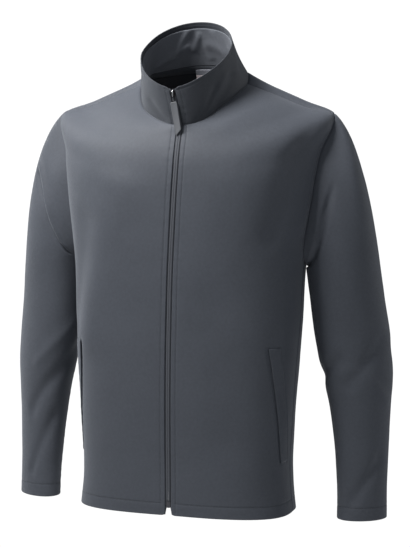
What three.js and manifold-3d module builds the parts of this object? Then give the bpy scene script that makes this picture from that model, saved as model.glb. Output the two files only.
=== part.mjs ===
// A men's softshell jacket, zipped to the top, filled out as if worn, with nobody in it.
// Millimetres. X points to the wearer's left, Y to the back and Z up.
// The origin is the centre of the neck's base, level with the side neck points.
import * as THREE from "three";
import { mergeVertices } from "three/addons/utils/BufferGeometryUtils.js";
import Module from "manifold-3d";

const wasm = await Module();
wasm.setup();

// Cloth
const WALL = 1.6; // softshell bonded to a thin fleece
const SEAM_GAP = 0.3; // between pieces that are sewn together
const SKIN_GAP = 0.3; // between a piece and what lies on it
const FACING_WALL = 1.2;
const TAPE_WALL = 1.0;
const LABEL_WALL = 0.6;
const STEP = 1e-4; // step of a surface's own coordinates for its slopes

// Zip: half widths, measured from the centre front
const ZIP_SLOT = 6;
const TAPE_WIDTH = 15;
const FACING_START = 17;
const SLIDER = { below_rim: 0.84, width: 8, length: 11, plate: 1.2, front: 1.55, back: 4.6, post: 1.8 };
const BRIDGE = { width: 2, length: 8, leg: 1.2, clear: 1.95, bar: 1 };
const LINK = { width: 6.8, hole: 4.4, length: 10, wire: 1.2 };
const TAB = { width: 10.5, length: 52, thick: 2, cut: 9, corner: 2, lean_deg: 9 };
const BOX = { height: 17, width: 6, length: 10, front: 1.0, thick: 2.5 };

// Where the armhole lies: heights as shares of the body, depths in quarters of the ring
const HOLE = { low: 0.615, high: 0.9, front: 0.15, back: 0.36, round: 0.8 };
const CAP_SHARE = 0.4; // share of the sleeve's length coordinate that is the sleeve head

// A table's rows, turned into one list for each named column
function columns(names, rows) {
  return Object.fromEntries(names.split(" ").map((name, i) => [name, rows.map((row) => row[i])]));
}

// Closed rings of the body from hem to neckline. A ring has its own height at centre front,
// side and centre back, and dip is how soon it leaves its height at the side. Its plan is squarer
// where n is larger, and more pointed at the side where tip is larger, as it is across the shoulders.
// ridge is how far the shoulder rises behind the seam, in mm.
const TORSO = columns("at side_z half_w side_y front_z front_y back_z back_y front_n back_n tip ridge dip", [
  [0.0, -686, 176, 10, -683, -92, -694, 104, 2.9, 2.7, 1.0, 0, 1.8],
  [0.05, -652, 172, 10, -650, -92, -657, 104, 2.9, 2.7, 1.0, 0, 1.8],
  [0.25, -516, 175, 12, -514, -96, -515, 104, 2.8, 2.7, 1.0, 0, 1.8],
  [0.45, -388, 184, 15, -386, -99, -383, 110, 2.7, 2.7, 1.0, 0, 1.8],
  [0.62, -280, 189, 26, -282, -101, -272, 118, 2.6, 2.7, 1.0, 0, 1.8],
  [0.74, -188, 203, 38, -206, -101, -196, 126, 2.5, 2.6, 1.0, 0, 1.8],
  [0.84, -108, 215, 47, -150, -98, -128, 130, 2.3, 2.4, 1.05, 0, 1.8],
  [0.9, -54, 228, 50, -120, -93, -82, 129, 2.05, 2.1, 1.3, 2.5, 1.8],
  [0.94, -44.5, 182, 52, -102, -87, -46, 124, 2.0, 2.0, 1.2, 11, 1.8],
  [0.975, -23, 127, 50, -86, -80, -8, 115, 1.95, 2.0, 1.08, 10, 1.6],
  [1.0, -8, 87.5, 45, -71, -75, 22, 104, 1.6, 2.0, 1.0, 9.5, 1.15],
]);
const RIDGE_PLACE = 0.3; // how far behind the side that rise is, as a cosine of the turn

// The collar's upper edge, one ring
const RIM = { half_w: 73, side_y: -4, side_z: 42, front_y: -82, front_z: -15, back_y: 74, back_z: 90 };
const RIM_N = { front: 1.6, back: 2.1 };
const COLLAR_LEAN = 0.35; // how early the collar's sides lean in

// Rings of the left arm from the sleeve head to the cuff: centre, half sizes and turn of the long axis
const ARM = columns("at x y z long short turn", [
  [0.0, 244.5, 54, -300, 59.5, 49, 22],
  [0.14, 251, 58, -352, 60, 47, 27],
  [0.3, 260, 61, -415, 61, 45, 30],
  [0.46, 268.5, 62, -478, 56.5, 41.6, 30],
  [0.54, 271.5, 61.5, -510, 51, 38.5, 30],
  [0.7, 275.5, 59, -577, 44.8, 33, 30],
  [0.86, 278, 54.5, -644, 41, 29, 30],
  [1.0, 279, 50, -697, 40.8, 28, 30],
]);

// The largest folds of the body, from one place to another in ring coordinates.
// Width is the half width in mm, height is above the cloth, or below it when negative.
const BODY_FOLDS = columns("t0 q0 t1 q1 width height", [
  [0.88, 0.66, 0.68, 0.56, 24, -4.5],
  [0.86, 0.86, 0.7, 0.8, 20, 3],
  [0.72, -0.31, 0.42, -0.47, 22, 4],
  [0.7, -0.47, 0.45, -0.66, 26, -3.5],
  [0.5, 0.25, 0.2, 0.4, 45, -3],
  [0.8, 1.75, 0.5, 1.6, 34, -4],
  [0.78, -1.72, 0.4, -1.55, 36, -4.5],
  [0.34, 1.35, 0.12, 1.7, 34, 3],
]);
const BODY_SPAN = { t: 700, q: 285 }; // mm for a whole step of each ring coordinate

// The largest folds of the two sleeves, in the sleeve's own length and turn coordinates
const SLEEVE_FOLDS = columns("side k0 q0 k1 q1 width height", [
  [1, 0.16, 0.95, 0.34, 1.75, 15, -4],
  [1, 0.62, 1.1, 0.68, 2.1, 13, -3],
  [1, 0.7, 0.5, 0.66, 1.3, 14, -2.5],
  [1, 0.9, 0.7, 0.97, 1.5, 12, -3],
  [-1, 0.2, 0.35, 0.3, 1.35, 14, -4.5],
  [-1, 0.6, 1.0, 0.72, 1.6, 14, -3],
  [-1, 0.78, 1.1, 0.84, 1.9, 12, -2.5],
  [1, 0.5, 2.8, 0.6, 3.6, 16, -3],
  [-1, 0.48, 2.7, 0.62, 3.5, 16, -3.5],
]);
const SLEEVE_SPAN = { k: 640, q: 85 };

const WELT = { top: [0.405, 0.618], low: [0.125, 0.815], width: 22, thick: 1.2 };
const LABEL = { width: 36, top: 0.995, low: 0.966, gap: 0.8 };

const add = (a, b, scale = 1) => a.map((value, i) => value + scale * b[i]);
const mix = (a, b, share) => a + (b - a) * share;
const mirrored = (point, side) => [side * point[0], point[1], point[2]];
const cross = (a, b) => [a[1] * b[2] - a[2] * b[1], a[2] * b[0] - a[0] * b[2], a[0] * b[1] - a[1] * b[0]];
const distance = (a, b) => Math.hypot(...add(a, b, -1));
const unit = (a) => a.map((value) => value / Math.hypot(...a));
const radians = (degrees) => (degrees * Math.PI) / 180;
const steps = (from, to, count) => Array.from({ length: count + 1 }, (_, i) => mix(from, to, i / count));

// A smooth curve through a table's rows, with three-point slopes
function smooth(xs, ys, x) {
  const last = xs.length - 2;
  let i = 0;
  while (i < last && x >= xs[i + 1]) i += 1;
  const rise = (j) => (ys[j + 1] - ys[j]) / (xs[j + 1] - xs[j]);
  const slope = (j) => {
    if (j === 0) return rise(0);
    if (j === xs.length - 1) return rise(j - 1);
    const before = xs[j] - xs[j - 1];
    const after = xs[j + 1] - xs[j];
    return (rise(j - 1) * after + rise(j) * before) / (before + after);
  };
  const h = xs[i + 1] - xs[i];
  const s = (x - xs[i]) / h;
  const ends = (2 * s ** 3 - 3 * s ** 2 + 1) * ys[i] + (3 * s ** 2 - 2 * s ** 3) * ys[i + 1];
  return ends + h * ((s ** 3 - 2 * s ** 2 + s) * slope(i) + (s ** 3 - s ** 2) * slope(i + 1));
}

// How far a set of folds lifts the cloth at a place, each one a soft bar with tapering ends
function foldHeight(place, folds) {
  let height = 0;
  for (const { from, to, width, rise } of folds) {
    const run = add(to, from, -1);
    const reach = add(place, from, -1);
    const share = (run[0] * reach[0] + run[1] * reach[1]) / (run[0] ** 2 + run[1] ** 2);
    const nearest = add(from, run, Math.min(Math.max(share, 0), 1));
    height += rise * Math.exp(-((distance(place, nearest) / width) ** 2));
  }
  return height;
}

// Slopes of a surface at a place, down its rows and along its columns
function slopes(surface, row, column) {
  const down = add(surface(row + STEP, column), surface(row - STEP, column), -1);
  const along = add(surface(row, column + STEP), surface(row, column - STEP), -1);
  return { down: down.map((value) => value / (2 * STEP)), along: along.map((value) => value / (2 * STEP)) };
}

function normal(surface, row, column) {
  const { down, along } = slopes(surface, row, column);
  return unit(cross(along, down));
}

// A point of the plain body. q is 0 at centre front, 1 at the wearer's left side, 2 at centre back,
// and negative on the wearer's right.
function plainTorso(t, q) {
  const turn = q > 2 ? q - 4 : q < -2 ? q + 4 : q;
  const angle = (Math.abs(turn) * Math.PI) / 2;
  const end = Math.abs(turn) <= 1 ? "front" : "back";
  const value = (name) => smooth(TORSO.at, TORSO[name], t);
  const n = value(`${end}_n`);
  const c = Math.abs(Math.cos(angle));
  const s = Math.abs(Math.sin(angle));
  const reach = (c ** n + s ** n) ** (-1 / n);
  const y = mix(value("side_y"), value(`${end}_y`), (reach * c) ** value("tip"));
  const behind = end === "back" ? c / RIDGE_PLACE : 0;
  const rise = value("ridge") * (behind * Math.exp(1 - behind)) ** 2;
  const z = mix(value("side_z"), value(`${end}_z`), c ** value("dip")) + rise;
  return [Math.sign(turn) * value("half_w") * reach * s, y, z];
}

const bodyFolds = BODY_FOLDS.t0.map((t0, i) => ({
  from: [t0 * BODY_SPAN.t, BODY_FOLDS.q0[i] * BODY_SPAN.q],
  to: [BODY_FOLDS.t1[i] * BODY_SPAN.t, BODY_FOLDS.q1[i] * BODY_SPAN.q],
  width: BODY_FOLDS.width[i],
  rise: BODY_FOLDS.height[i],
}));

function torso(t, q) {
  const turn = q > 2 ? q - 4 : q < -2 ? q + 4 : q;
  const lift = foldHeight([t * BODY_SPAN.t, turn * BODY_SPAN.q], bodyFolds);
  return add(plainTorso(t, turn), normal(plainTorso, t, turn), lift);
}

function rim(q) {
  const angle = (Math.abs(q) * Math.PI) / 2;
  const end = Math.abs(q) <= 1 ? "front" : "back";
  const c = Math.abs(Math.cos(angle));
  const s = Math.abs(Math.sin(angle));
  const reach = (c ** RIM_N[end] + s ** RIM_N[end]) ** (-1 / RIM_N[end]);
  const y = mix(RIM.side_y, RIM[`${end}_y`], reach * c);
  const z = mix(RIM.side_z, RIM[`${end}_z`], reach * c);
  return [Math.sign(q) * RIM.half_w * reach * s, y, z];
}

// The collar stands from the neckline, v 0, to its rim, v 1
function collar(v, q) {
  const turn = q > 2 ? q - 4 : q < -2 ? q + 4 : q;
  const foot = torso(1, turn);
  const top = rim(turn);
  const lean = v + COLLAR_LEAN * Math.abs(Math.sin((turn * Math.PI) / 2)) * v * (1 - v);
  return [mix(foot[0], top[0], lean), mix(foot[1], top[1], lean), mix(foot[2], top[2], v)];
}

// The turn coordinate that lies x mm from centre front on the body, s up to 1, or on the collar above
function zipTurn(s, x) {
  const half = s <= 1 ? smooth(TORSO.at, TORSO.half_w, s) : mix(TORSO.half_w.at(-1), RIM.half_w, s - 1);
  return (2 / Math.PI) * Math.asin(x / half);
}

function frontStrip(s, x) {
  const q = zipTurn(s, x);
  return s <= 1 ? torso(s, q) : collar(s - 1, q);
}

// A place on the armhole: q is 0 at the shoulder tip, 1 in front, 2 at the underarm, 3 behind.
// grow widens the loop by that many mm, onto the body.
function armhole(body, q, grow) {
  const angle = (q * Math.PI) / 2;
  const middle = (HOLE.low + HOLE.high) / 2;
  const depth = Math.sin(angle) > 0 ? HOLE.front : HOLE.back;
  const sideways = Math.sign(Math.sin(angle)) * Math.abs(Math.sin(angle)) ** HOLE.round;
  const place = (high, wide) => [middle + high * Math.cos(angle), 1 - wide * sideways];
  const [t, turn] = place((HOLE.high - HOLE.low) / 2, depth);
  const { down, along } = slopes(body, t, turn);
  return place((HOLE.high - HOLE.low) / 2 + grow / Math.hypot(...down), depth + grow / Math.hypot(...along));
}

// A point of the left arm below the sleeve head, k from 0 to 1
function arm(k, q) {
  const value = (name) => smooth(ARM.at, ARM[name], k);
  const angle = (q * Math.PI) / 2;
  const turned = angle + radians(value("turn"));
  const reach = 1 / Math.hypot(Math.cos(turned) / value("long"), Math.sin(turned) / value("short"));
  return [value("x") + reach * Math.cos(angle), value("y") - reach * Math.sin(angle), value("z")];
}

// A point of the sleeve head: a cubic from the armhole, share 0, to the arm's first ring, share 1.
// At the top it leaves in line with the shoulder's tip, and at the underarm it leaves downwards.
function sleeveHead(body, share, q) {
  const start = body(...armhole(body, q, 0));
  const end = arm(0, q);
  const onward = unit(slopes(body, HOLE.high, 1).down);
  const angle = (q * Math.PI) / 2;
  const top = Math.max(Math.cos(angle), 0) ** 1.5;
  const low = Math.max(-Math.cos(angle), 0) ** 2;
  const middle = 1 - top - low;
  const outward = [0.8, -0.25 * Math.sin(angle), -0.55];
  const leave = unit(onward.map((value, i) => outward[i] * middle + [0.35, 0, -0.94][i] * low - value * top));
  const arrive = unit(add(arm(0.02, q), end, -1));
  const span = distance(start, end);
  const first = add(start, leave, span * (0.15 * top + 0.18 * middle + 0.3 * low));
  const second = add(end, arrive, -span * (0.6 * top + 0.48 * middle + 0.3 * low));
  const rest = 1 - share;
  const weights = [rest ** 3, 3 * rest ** 2 * share, 3 * rest * share ** 2, share ** 3];
  return [0, 1, 2].map((i) => {
    const values = [start[i], first[i], second[i], end[i]];
    return values.reduce((sum, value, j) => sum + weights[j] * value, 0);
  });
}

function makeSleeve(side) {
  const body = (t, q) => mirrored(torso(t, side * q), side);
  const folds = SLEEVE_FOLDS.side.flatMap((which, i) => (which !== side ? [] : [{
    from: [SLEEVE_FOLDS.k0[i] * SLEEVE_SPAN.k, SLEEVE_FOLDS.q0[i] * SLEEVE_SPAN.q],
    to: [SLEEVE_FOLDS.k1[i] * SLEEVE_SPAN.k, SLEEVE_FOLDS.q1[i] * SLEEVE_SPAN.q],
    width: SLEEVE_FOLDS.width[i],
    rise: SLEEVE_FOLDS.height[i],
  }]));
  const plain = (k, q) => {
    if (k < CAP_SHARE) return sleeveHead(body, k / CAP_SHARE, q);
    return arm((k - CAP_SHARE) / (1 - CAP_SHARE), q);
  };
  return (k, q) => {
    const turn = ((q % 4) + 4) % 4;
    const lift = foldHeight([k * SLEEVE_SPAN.k, turn * SLEEVE_SPAN.q], folds);
    return mirrored(add(plain(k, turn), normal(plain, k, turn), lift), side);
  };
}

// A closed solid from its vertices and its faces, given with three or four corners, turned outwards
function solid(points, faces) {
  const triangles = faces.flatMap(([a, b, c, d]) => (d === undefined ? [[a, b, c]] : [[a, b, c], [a, c, d]]));
  const volume = triangles.reduce((sum, [a, b, c]) => {
    const [x, y, z] = cross(points[b], points[c]);
    return sum + points[a][0] * x + points[a][1] * y + points[a][2] * z;
  }, 0);
  const index = triangles.flatMap(([a, b, c]) => (volume > 0 ? [a, b, c] : [a, c, b]));
  const geometry = new THREE.BufferGeometry();
  geometry.setAttribute("position", new THREE.Float32BufferAttribute(points.flat(), 3));
  geometry.setIndex(index);
  geometry.computeVertexNormals();
  return geometry;
}

// A wall of cloth on a surface. places is a grid of its row and column coordinates; the wall runs
// from outer to inner, in mm along the normal, which facing turns outwards. A ring closes on itself.
function wall(surface, places, { outer, inner, facing = 1, ring = false }) {
  const rows = places.length;
  const across = places[0].length;
  const layer = (offset) => places.flatMap((line) => line.map(([row, column]) => {
    return add(surface(row, column), normal(surface, row, column), facing * offset);
  }));
  const points = [...layer(outer), ...layer(inner)];
  const at = (row, column, under) => under * rows * across + row * across + (column % across);
  const faces = [];
  const lastColumn = ring ? across : across - 1;
  for (let column = 0; column < lastColumn; column += 1) {
    for (let row = 0; row < rows - 1; row += 1) {
      const [next, beside] = [row + 1, column + 1];
      faces.push([at(row, column, 0), at(row, beside, 0), at(next, beside, 0), at(next, column, 0)]);
      faces.push([at(row, column, 1), at(next, column, 1), at(next, beside, 1), at(row, beside, 1)]);
    }
    const [foot, top, beside] = [0, rows - 1, column + 1];
    faces.push([at(foot, column, 0), at(foot, column, 1), at(foot, beside, 1), at(foot, beside, 0)]);
    faces.push([at(top, column, 0), at(top, beside, 0), at(top, beside, 1), at(top, column, 1)]);
  }
  for (let row = 0; row < rows - 1 && !ring; row += 1) {
    const [next, end] = [row + 1, across - 1];
    faces.push([at(row, 0, 0), at(next, 0, 0), at(next, 0, 1), at(row, 0, 1)]);
    faces.push([at(row, end, 0), at(row, end, 1), at(next, end, 1), at(next, end, 0)]);
  }
  return solid(points, faces);
}

// Column coordinates from one to another along a row, evenly spaced by length
function spread(surface, row, from, to, count) {
  const FINE = 64;
  const samples = steps(from, to, FINE);
  const lengths = [0];
  for (let i = 1; i <= FINE; i += 1) {
    lengths.push(lengths[i - 1] + distance(surface(row, samples[i]), surface(row, samples[i - 1])));
  }
  return steps(0, lengths[FINE], count).map((length) => {
    let i = 0;
    while (i < FINE - 1 && lengths[i + 1] < length) i += 1;
    return mix(samples[i], samples[i + 1], (length - lengths[i]) / (lengths[i + 1] - lengths[i]));
  });
}

// How far a step along a row or down a column, taken from a place, moves half a seam's gap
function inset(pointAt) {
  const start = pointAt(0);
  let step = STEP;
  while (distance(pointAt(step), start) < SEAM_GAP / 2) step *= 1.05;
  return step;
}

// Row heights that the front and back panels share, each with the turn of both armhole edges
const ROWS = { below: 15, beside: 10, above: 5 };
function panelRows(body) {
  const edges = (t) => ({
    t,
    front: 1 - inset((step) => body(t, 1 - step)),
    back: 1 + inset((step) => body(t, 1 + step)),
  });
  const loop = steps(2, 0, ROWS.beside).map((q) => {
    const [t, front] = armhole(body, q, SEAM_GAP / 2);
    const [, behind] = armhole(body, 4 - q, SEAM_GAP / 2);
    const plain = edges(t);
    return { t, front: Math.min(front, plain.front), back: Math.max(behind, plain.back) };
  });
  const low = steps(0, loop[0].t, ROWS.below).slice(0, -1).map(edges);
  const neck = 1 - inset((step) => body(1 - step, 1));
  const high = steps(loop.at(-1).t, neck, ROWS.above).slice(1).map(edges);
  return [...low, ...loop, ...high];
}

const FRONT_COLUMNS = 9;
function frontPanel(side) {
  const body = (t, q) => mirrored(torso(t, side * q), side);
  const places = panelRows(body).map(({ t, front }) => {
    const turns = spread(body, t, zipTurn(t, TAPE_WIDTH), front, FRONT_COLUMNS);
    return [zipTurn(t, ZIP_SLOT), ...turns].map((q) => [t, side * q]);
  });
  return wall(torso, places, { outer: 0, inner: -WALL });
}

const BACK_COLUMNS = 18;
function backPanel() {
  const left = panelRows((t, q) => torso(t, q));
  const right = panelRows((t, q) => mirrored(torso(t, -q), -1));
  const places = left.map(({ t, back }, i) => {
    return spread(torso, t, back, 4 - right[i].back, BACK_COLUMNS).map((q) => [t, q]);
  });
  return wall(torso, places, { outer: 0, inner: -WALL });
}

const SLEEVE_GRID = { around: 20, head: 10, arm: 15 };
function sleeveTube(side) {
  const surface = makeSleeve(side);
  const { around, head, arm: below } = SLEEVE_GRID;
  const turns = steps(0, 4, around).slice(0, -1);
  const heights = [...steps(0, CAP_SHARE, head).slice(0, -1), ...steps(CAP_SHARE, 1, below)];
  const places = heights.map((k) => turns.map((q) => [k || inset((step) => surface(step, q)), q]));
  return wall(surface, places, { outer: 0, inner: -WALL, facing: side, ring: true });
}

// A band round the collar, with the given heights as its rows. The facing stops short of the zip
// tapes, and the outer cloth goes on to the zip.
const COLLAR_COLUMNS = 36;
const FACING_ROWS = [0.04, 0.25, 0.46, 0.67, 0.88];
function collarBand(heights, outer, inner, toZip) {
  const places = heights.map((v) => {
    const start = zipTurn(1 + v, FACING_START);
    const turns = spread(collar, v, start, 4 - start, COLLAR_COLUMNS);
    const ends = toZip ? [zipTurn(1 + v, ZIP_SLOT), zipTurn(1 + v, TAPE_WIDTH)] : [];
    return [...ends, ...turns, ...ends.map((q) => 4 - q).reverse()].map((q) => [v, q]);
  });
  return wall(collar, places, { outer, inner });
}

// Tape: its inner edge along the zip, in mm from centre front. It leaves room for the box at its
// foot, below which it is cut away to a notch, and for the slider's post.
const TAPE_EDGES = columns("s edge", [
  [0.001, 5.5],
  [0.018, 3.3],
  [0.034, 3.3],
  [0.036, 0.15],
  [1.72, 0.15],
  [1.8, 1.4],
  [1.965, 1.6],
]);
function zipTape(side) {
  const body = (t, q) => mirrored(torso(t, side * q), side);
  const level = panelRows(body).map(({ t }) => t).filter((t) => t > TAPE_EDGES.s[3]);
  const upper = FACING_ROWS.slice(0, 3).map((v) => 1 + v);
  const heights = [...TAPE_EDGES.s, ...level, ...upper].sort((a, b) => a - b);
  const edge = (s) => {
    const i = Math.max(TAPE_EDGES.s.findLastIndex((value) => value <= s), 0);
    const next = Math.min(i + 1, TAPE_EDGES.s.length - 1);
    const span = TAPE_EDGES.s[next] - TAPE_EDGES.s[i] || 1;
    return mix(TAPE_EDGES.edge[i], TAPE_EDGES.edge[next], (s - TAPE_EDGES.s[i]) / span);
  };
  const surface = (s, x) => mirrored(frontStrip(s, Math.abs(x)), Math.sign(x));
  const places = heights.map((s) => [edge(s), ZIP_SLOT, TAPE_WIDTH].map((x) => [s, side * x]));
  const outer = -(WALL + SKIN_GAP);
  return wall(surface, places, { outer, inner: outer - TAPE_WALL });
}

function pocketWelt(side) {
  const surface = (along, x) => {
    const t = mix(WELT.low[0], WELT.top[0], along);
    const middle = mix(WELT.low[1], WELT.top[1], along);
    const length = Math.hypot(...slopes(torso, t, side * middle).along);
    return torso(t, side * middle + x / length);
  };
  const places = steps(0, 1, 14).map((along) => {
    return steps(-WELT.width / 2, WELT.width / 2, 2).map((x) => [along, x]);
  });
  return wall(surface, places, { outer: SKIN_GAP + WELT.thick, inner: SKIN_GAP });
}

function neckLabel() {
  const surface = (t, x) => {
    const turn = (2 / Math.PI) * Math.asin(x / smooth(TORSO.at, TORSO.half_w, t));
    return torso(t, 2 + turn);
  };
  const places = steps(LABEL.low, LABEL.top, 3).map((t) => {
    return steps(-LABEL.width / 2, LABEL.width / 2, 4).map((x) => [t, x]);
  });
  const outer = -(WALL + LABEL.gap);
  return wall(surface, places, { outer, inner: outer - LABEL_WALL });
}

// A flat shape with rounded corners, centred on its own origin
function roundedShape(width, length, corner) {
  const shape = new THREE.Shape();
  const [x, y] = [width / 2, length / 2];
  shape.moveTo(-x + corner, -y);
  shape.lineTo(x - corner, -y);
  shape.absarc(x - corner, -y + corner, corner, -Math.PI / 2, 0);
  shape.lineTo(x, y - corner);
  shape.absarc(x - corner, y - corner, corner, 0, Math.PI / 2);
  shape.lineTo(-x + corner, y);
  shape.absarc(-x + corner, y - corner, corner, Math.PI / 2, Math.PI);
  shape.lineTo(-x, -y + corner);
  shape.absarc(-x + corner, -y + corner, corner, Math.PI, 1.5 * Math.PI);
  return shape;
}

// A plate of a shape drawn as seen from the front, from y to thick mm in front of it
function plate(shape, y, thick) {
  const geometry = new THREE.ExtrudeGeometry(shape, { depth: thick, bevelEnabled: false, curveSegments: 4 });
  return geometry.rotateX(Math.PI / 2).translate(0, y, 0);
}

function merged(geometry) {
  const plain = geometry.clone();
  plain.deleteAttribute("normal");
  plain.deleteAttribute("uv");
  return mergeVertices(plain, 1e-4);
}

function toManifold(geometry) {
  const plain = merged(geometry);
  return new wasm.Manifold(new wasm.Mesh({
    numProp: 3,
    vertProperties: new Float32Array(plain.attributes.position.array),
    triVerts: new Uint32Array(plain.index.array),
  }));
}

function joined(geometries) {
  const [first, ...others] = geometries.map(toManifold);
  const mesh = others.reduce((whole, piece) => whole.add(piece), first).getMesh();
  const geometry = new THREE.BufferGeometry();
  geometry.setAttribute("position", new THREE.BufferAttribute(mesh.vertProperties, 3));
  geometry.setIndex(new THREE.BufferAttribute(mesh.triVerts, 1));
  geometry.computeVertexNormals();
  return geometry;
}

// Slider round its own centre: a plate on each side of the tapes, the post between them, and the
// bridge that the pull hangs in
function sliderBody() {
  const { width, length, plate: thick, front, back, post } = SLIDER;
  const reach = BRIDGE.length / 2;
  const face = front - thick;
  const barY = face - BRIDGE.clear - BRIDGE.bar;
  const block = (x, y, z, middleY, middleZ) => new THREE.BoxGeometry(x, y, z).translate(0, middleY, middleZ);
  const legDepth = BRIDGE.clear + BRIDGE.bar + thick / 2;
  const legs = [-1, 1].map((end) => {
    const z = end * (reach - BRIDGE.leg / 2);
    return block(BRIDGE.width, legDepth, BRIDGE.leg, barY + legDepth / 2, z);
  });
  const postDepth = back - face - thick;
  return joined([
    plate(roundedShape(width, length, 2), front, thick),
    plate(roundedShape(width, length, 2), back, thick - 0.2),
    block(post, postDepth, 2.4, face + thick / 2 + postDepth / 2, length / 2 - 2.6),
    block(BRIDGE.width, BRIDGE.bar, BRIDGE.length, barY + BRIDGE.bar / 2, 0),
    ...legs,
  ]);
}

// Link and tab hang from the link's upper bar, which lies on the group's origin
function linkRing() {
  const { width, hole, length, wire } = LINK;
  const shape = roundedShape(width, length, 1.2);
  const gap = roundedShape(hole, length - 2 * wire, 0.6);
  shape.holes.push(new THREE.Path(gap.getPoints(4).reverse()));
  return plate(shape, wire / 2, wire).translate(0, 0, (wire - length) / 2);
}

function pullTab() {
  const { width, length, thick, cut, corner } = TAB;
  const [x, foot] = [width / 2, -length];
  const shape = new THREE.Shape();
  shape.moveTo(-x, foot);
  shape.lineTo(x, foot + cut);
  shape.lineTo(x, -corner);
  shape.absarc(x - corner, -corner, corner, 0, Math.PI / 2);
  shape.lineTo(-x + corner, 0);
  shape.absarc(-x + corner, -corner, corner, Math.PI / 2, Math.PI);
  return plate(shape, thick / 2, thick);
}

const material = (color, roughness, metalness = 0) => new THREE.MeshStandardMaterial({ color, roughness, metalness });
const finishes = {
  softshell: material(0x4b4f58, 0.75),
  inner: material(0x33363d, 0.9),
  tape: material(0x2a2c31, 0.85),
  nickel: material(0xb9bcc0, 0.3, 1),
  black: material(0x1c1d20, 0.4, 0.6),
  puller: material(0x8b8f96, 0.5),
  label: material(0xc9c9cc, 0.8),
};

function piece(name, geometry, finish) {
  const mesh = new THREE.Mesh(geometry, finish);
  mesh.name = name;
  return mesh;
}

// A group seated on the centre front, its Z axis up along the zip and its -Y axis out of the cloth
function seated(s) {
  const [, y, z] = frontStrip(s, 0);
  const up = unit(add(frontStrip(s + STEP, 0), frontStrip(s - STEP, 0), -1));
  const group = new THREE.Group();
  group.position.set(0, y, z);
  group.rotation.x = Math.atan2(-up[1], up[2]);
  return group;
}

const jacket = new THREE.Group();
for (const [side, word] of [[1, "left"], [-1, "right"]]) {
  jacket.add(piece(`front_${word}`, frontPanel(side), finishes.softshell));
  jacket.add(piece(`sleeve_${word}`, sleeveTube(side), finishes.softshell));
  jacket.add(piece(`pocket_welt_${word}`, pocketWelt(side), finishes.softshell));
  jacket.add(piece(`zip_tape_${word}`, zipTape(side), finishes.tape));
}
jacket.add(piece("back", backPanel(), finishes.softshell));

const collarRows = [inset((step) => collar(step, 1)), ...FACING_ROWS, 1];
jacket.add(piece("collar", collarBand(collarRows, 0, -WALL, true), finishes.softshell));
const facingOuter = -(WALL + SKIN_GAP);
const facing = collarBand(FACING_ROWS, facingOuter, facingOuter - FACING_WALL, false);
jacket.add(piece("collar_facing", facing, finishes.inner));
jacket.add(piece("neck_label", neckLabel(), finishes.label));

const box = seated(smooth(TORSO.front_z, TORSO.at, TORSO.front_z[0] + BOX.height));
const boxFront = BOX.front + BOX.thick;
box.add(piece("zip_box", merged(plate(roundedShape(BOX.width, BOX.length, 1), boxFront, BOX.thick)), finishes.black));
jacket.add(box);

const slider = seated(1 + SLIDER.below_rim);
slider.add(piece("zip_slider", sliderBody(), finishes.nickel));
jacket.add(slider);

// The link's bar lies midway between plate and bridge, just above the bridge's lower leg
slider.updateMatrixWorld();
const barDepth = SLIDER.front - SLIDER.plate - BRIDGE.clear / 2;
const barHeight = -BRIDGE.length / 2 + BRIDGE.leg + LINK.wire / 2 + SEAM_GAP;
const hinge = new THREE.Vector3(0, barDepth, barHeight).applyMatrix4(slider.matrixWorld);
const pull = new THREE.Group();
pull.position.copy(hinge);
pull.add(piece("pull_link", merged(linkRing()), finishes.black));
const tab = piece("pull_tab", merged(pullTab()), finishes.puller);
tab.position.z = LINK.wire / 2 - LINK.length - SEAM_GAP - Math.sin(radians(TAB.lean_deg)) * TAB.width / 2;
tab.rotation.y = -radians(TAB.lean_deg);
pull.add(tab);
jacket.add(pull);

export default jacket;
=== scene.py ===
"""A men's softshell jacket, zipped to the top and filled out as if worn, with nobody in it.

Shapes are worked out in millimetres, in the part's own frame: X to the wearer's left, Y to the back,
Z up, with the origin at the neck's base. They become metres where a mesh is made.
"""

import math

import bpy
import numpy as np
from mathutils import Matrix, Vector, noise
from mathutils.bvhtree import BVHTree


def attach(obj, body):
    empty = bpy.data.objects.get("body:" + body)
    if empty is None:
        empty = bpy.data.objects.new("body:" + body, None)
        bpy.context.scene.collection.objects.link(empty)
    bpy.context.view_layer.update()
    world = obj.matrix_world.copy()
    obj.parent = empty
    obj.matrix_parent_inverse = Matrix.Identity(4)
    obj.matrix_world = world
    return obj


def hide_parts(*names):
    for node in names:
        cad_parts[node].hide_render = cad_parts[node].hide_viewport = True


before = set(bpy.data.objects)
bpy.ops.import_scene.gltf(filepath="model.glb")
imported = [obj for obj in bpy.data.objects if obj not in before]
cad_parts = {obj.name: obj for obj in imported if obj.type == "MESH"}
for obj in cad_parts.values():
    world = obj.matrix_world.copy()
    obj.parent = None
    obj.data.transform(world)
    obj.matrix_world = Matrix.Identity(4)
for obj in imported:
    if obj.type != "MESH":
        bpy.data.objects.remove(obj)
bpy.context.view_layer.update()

MM = 0.001
STEP = 1e-4  # step of a surface's own coordinates for its slopes

# Cloth, in mm
WALL = 1.6
SEAM_GAP = 0.04  # sewn seams are closed, so that no light shows through them
FACING_WALL = 1.2
ZIP_SLOT = 6
FACING_START = 17
HEM_TURN = 20  # how deep the hem and the cuffs are turned up
EDGE_STITCH = 6.5  # from the zip slot's edge to the stitching beside it
ARMHOLE_STITCH = 6
ALLOWANCE = 7  # seam allowance that is turned under the body
TUCKED = 0.9  # room between the body's wall and that allowance
TAPE_WALL = 1.0
SKIN_GAP = 0.3
PATH_POINTS = 900  # points on the path of a long line of stitching

# Where the armhole lies: heights as shares of the body, depths in quarters of the ring
HOLE = {"low": 0.615, "high": 0.9, "front": 0.15, "back": 0.36, "round": 0.8}
CAP_SHARE = 0.4  # share of the sleeve's length coordinate that is the sleeve head


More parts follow.
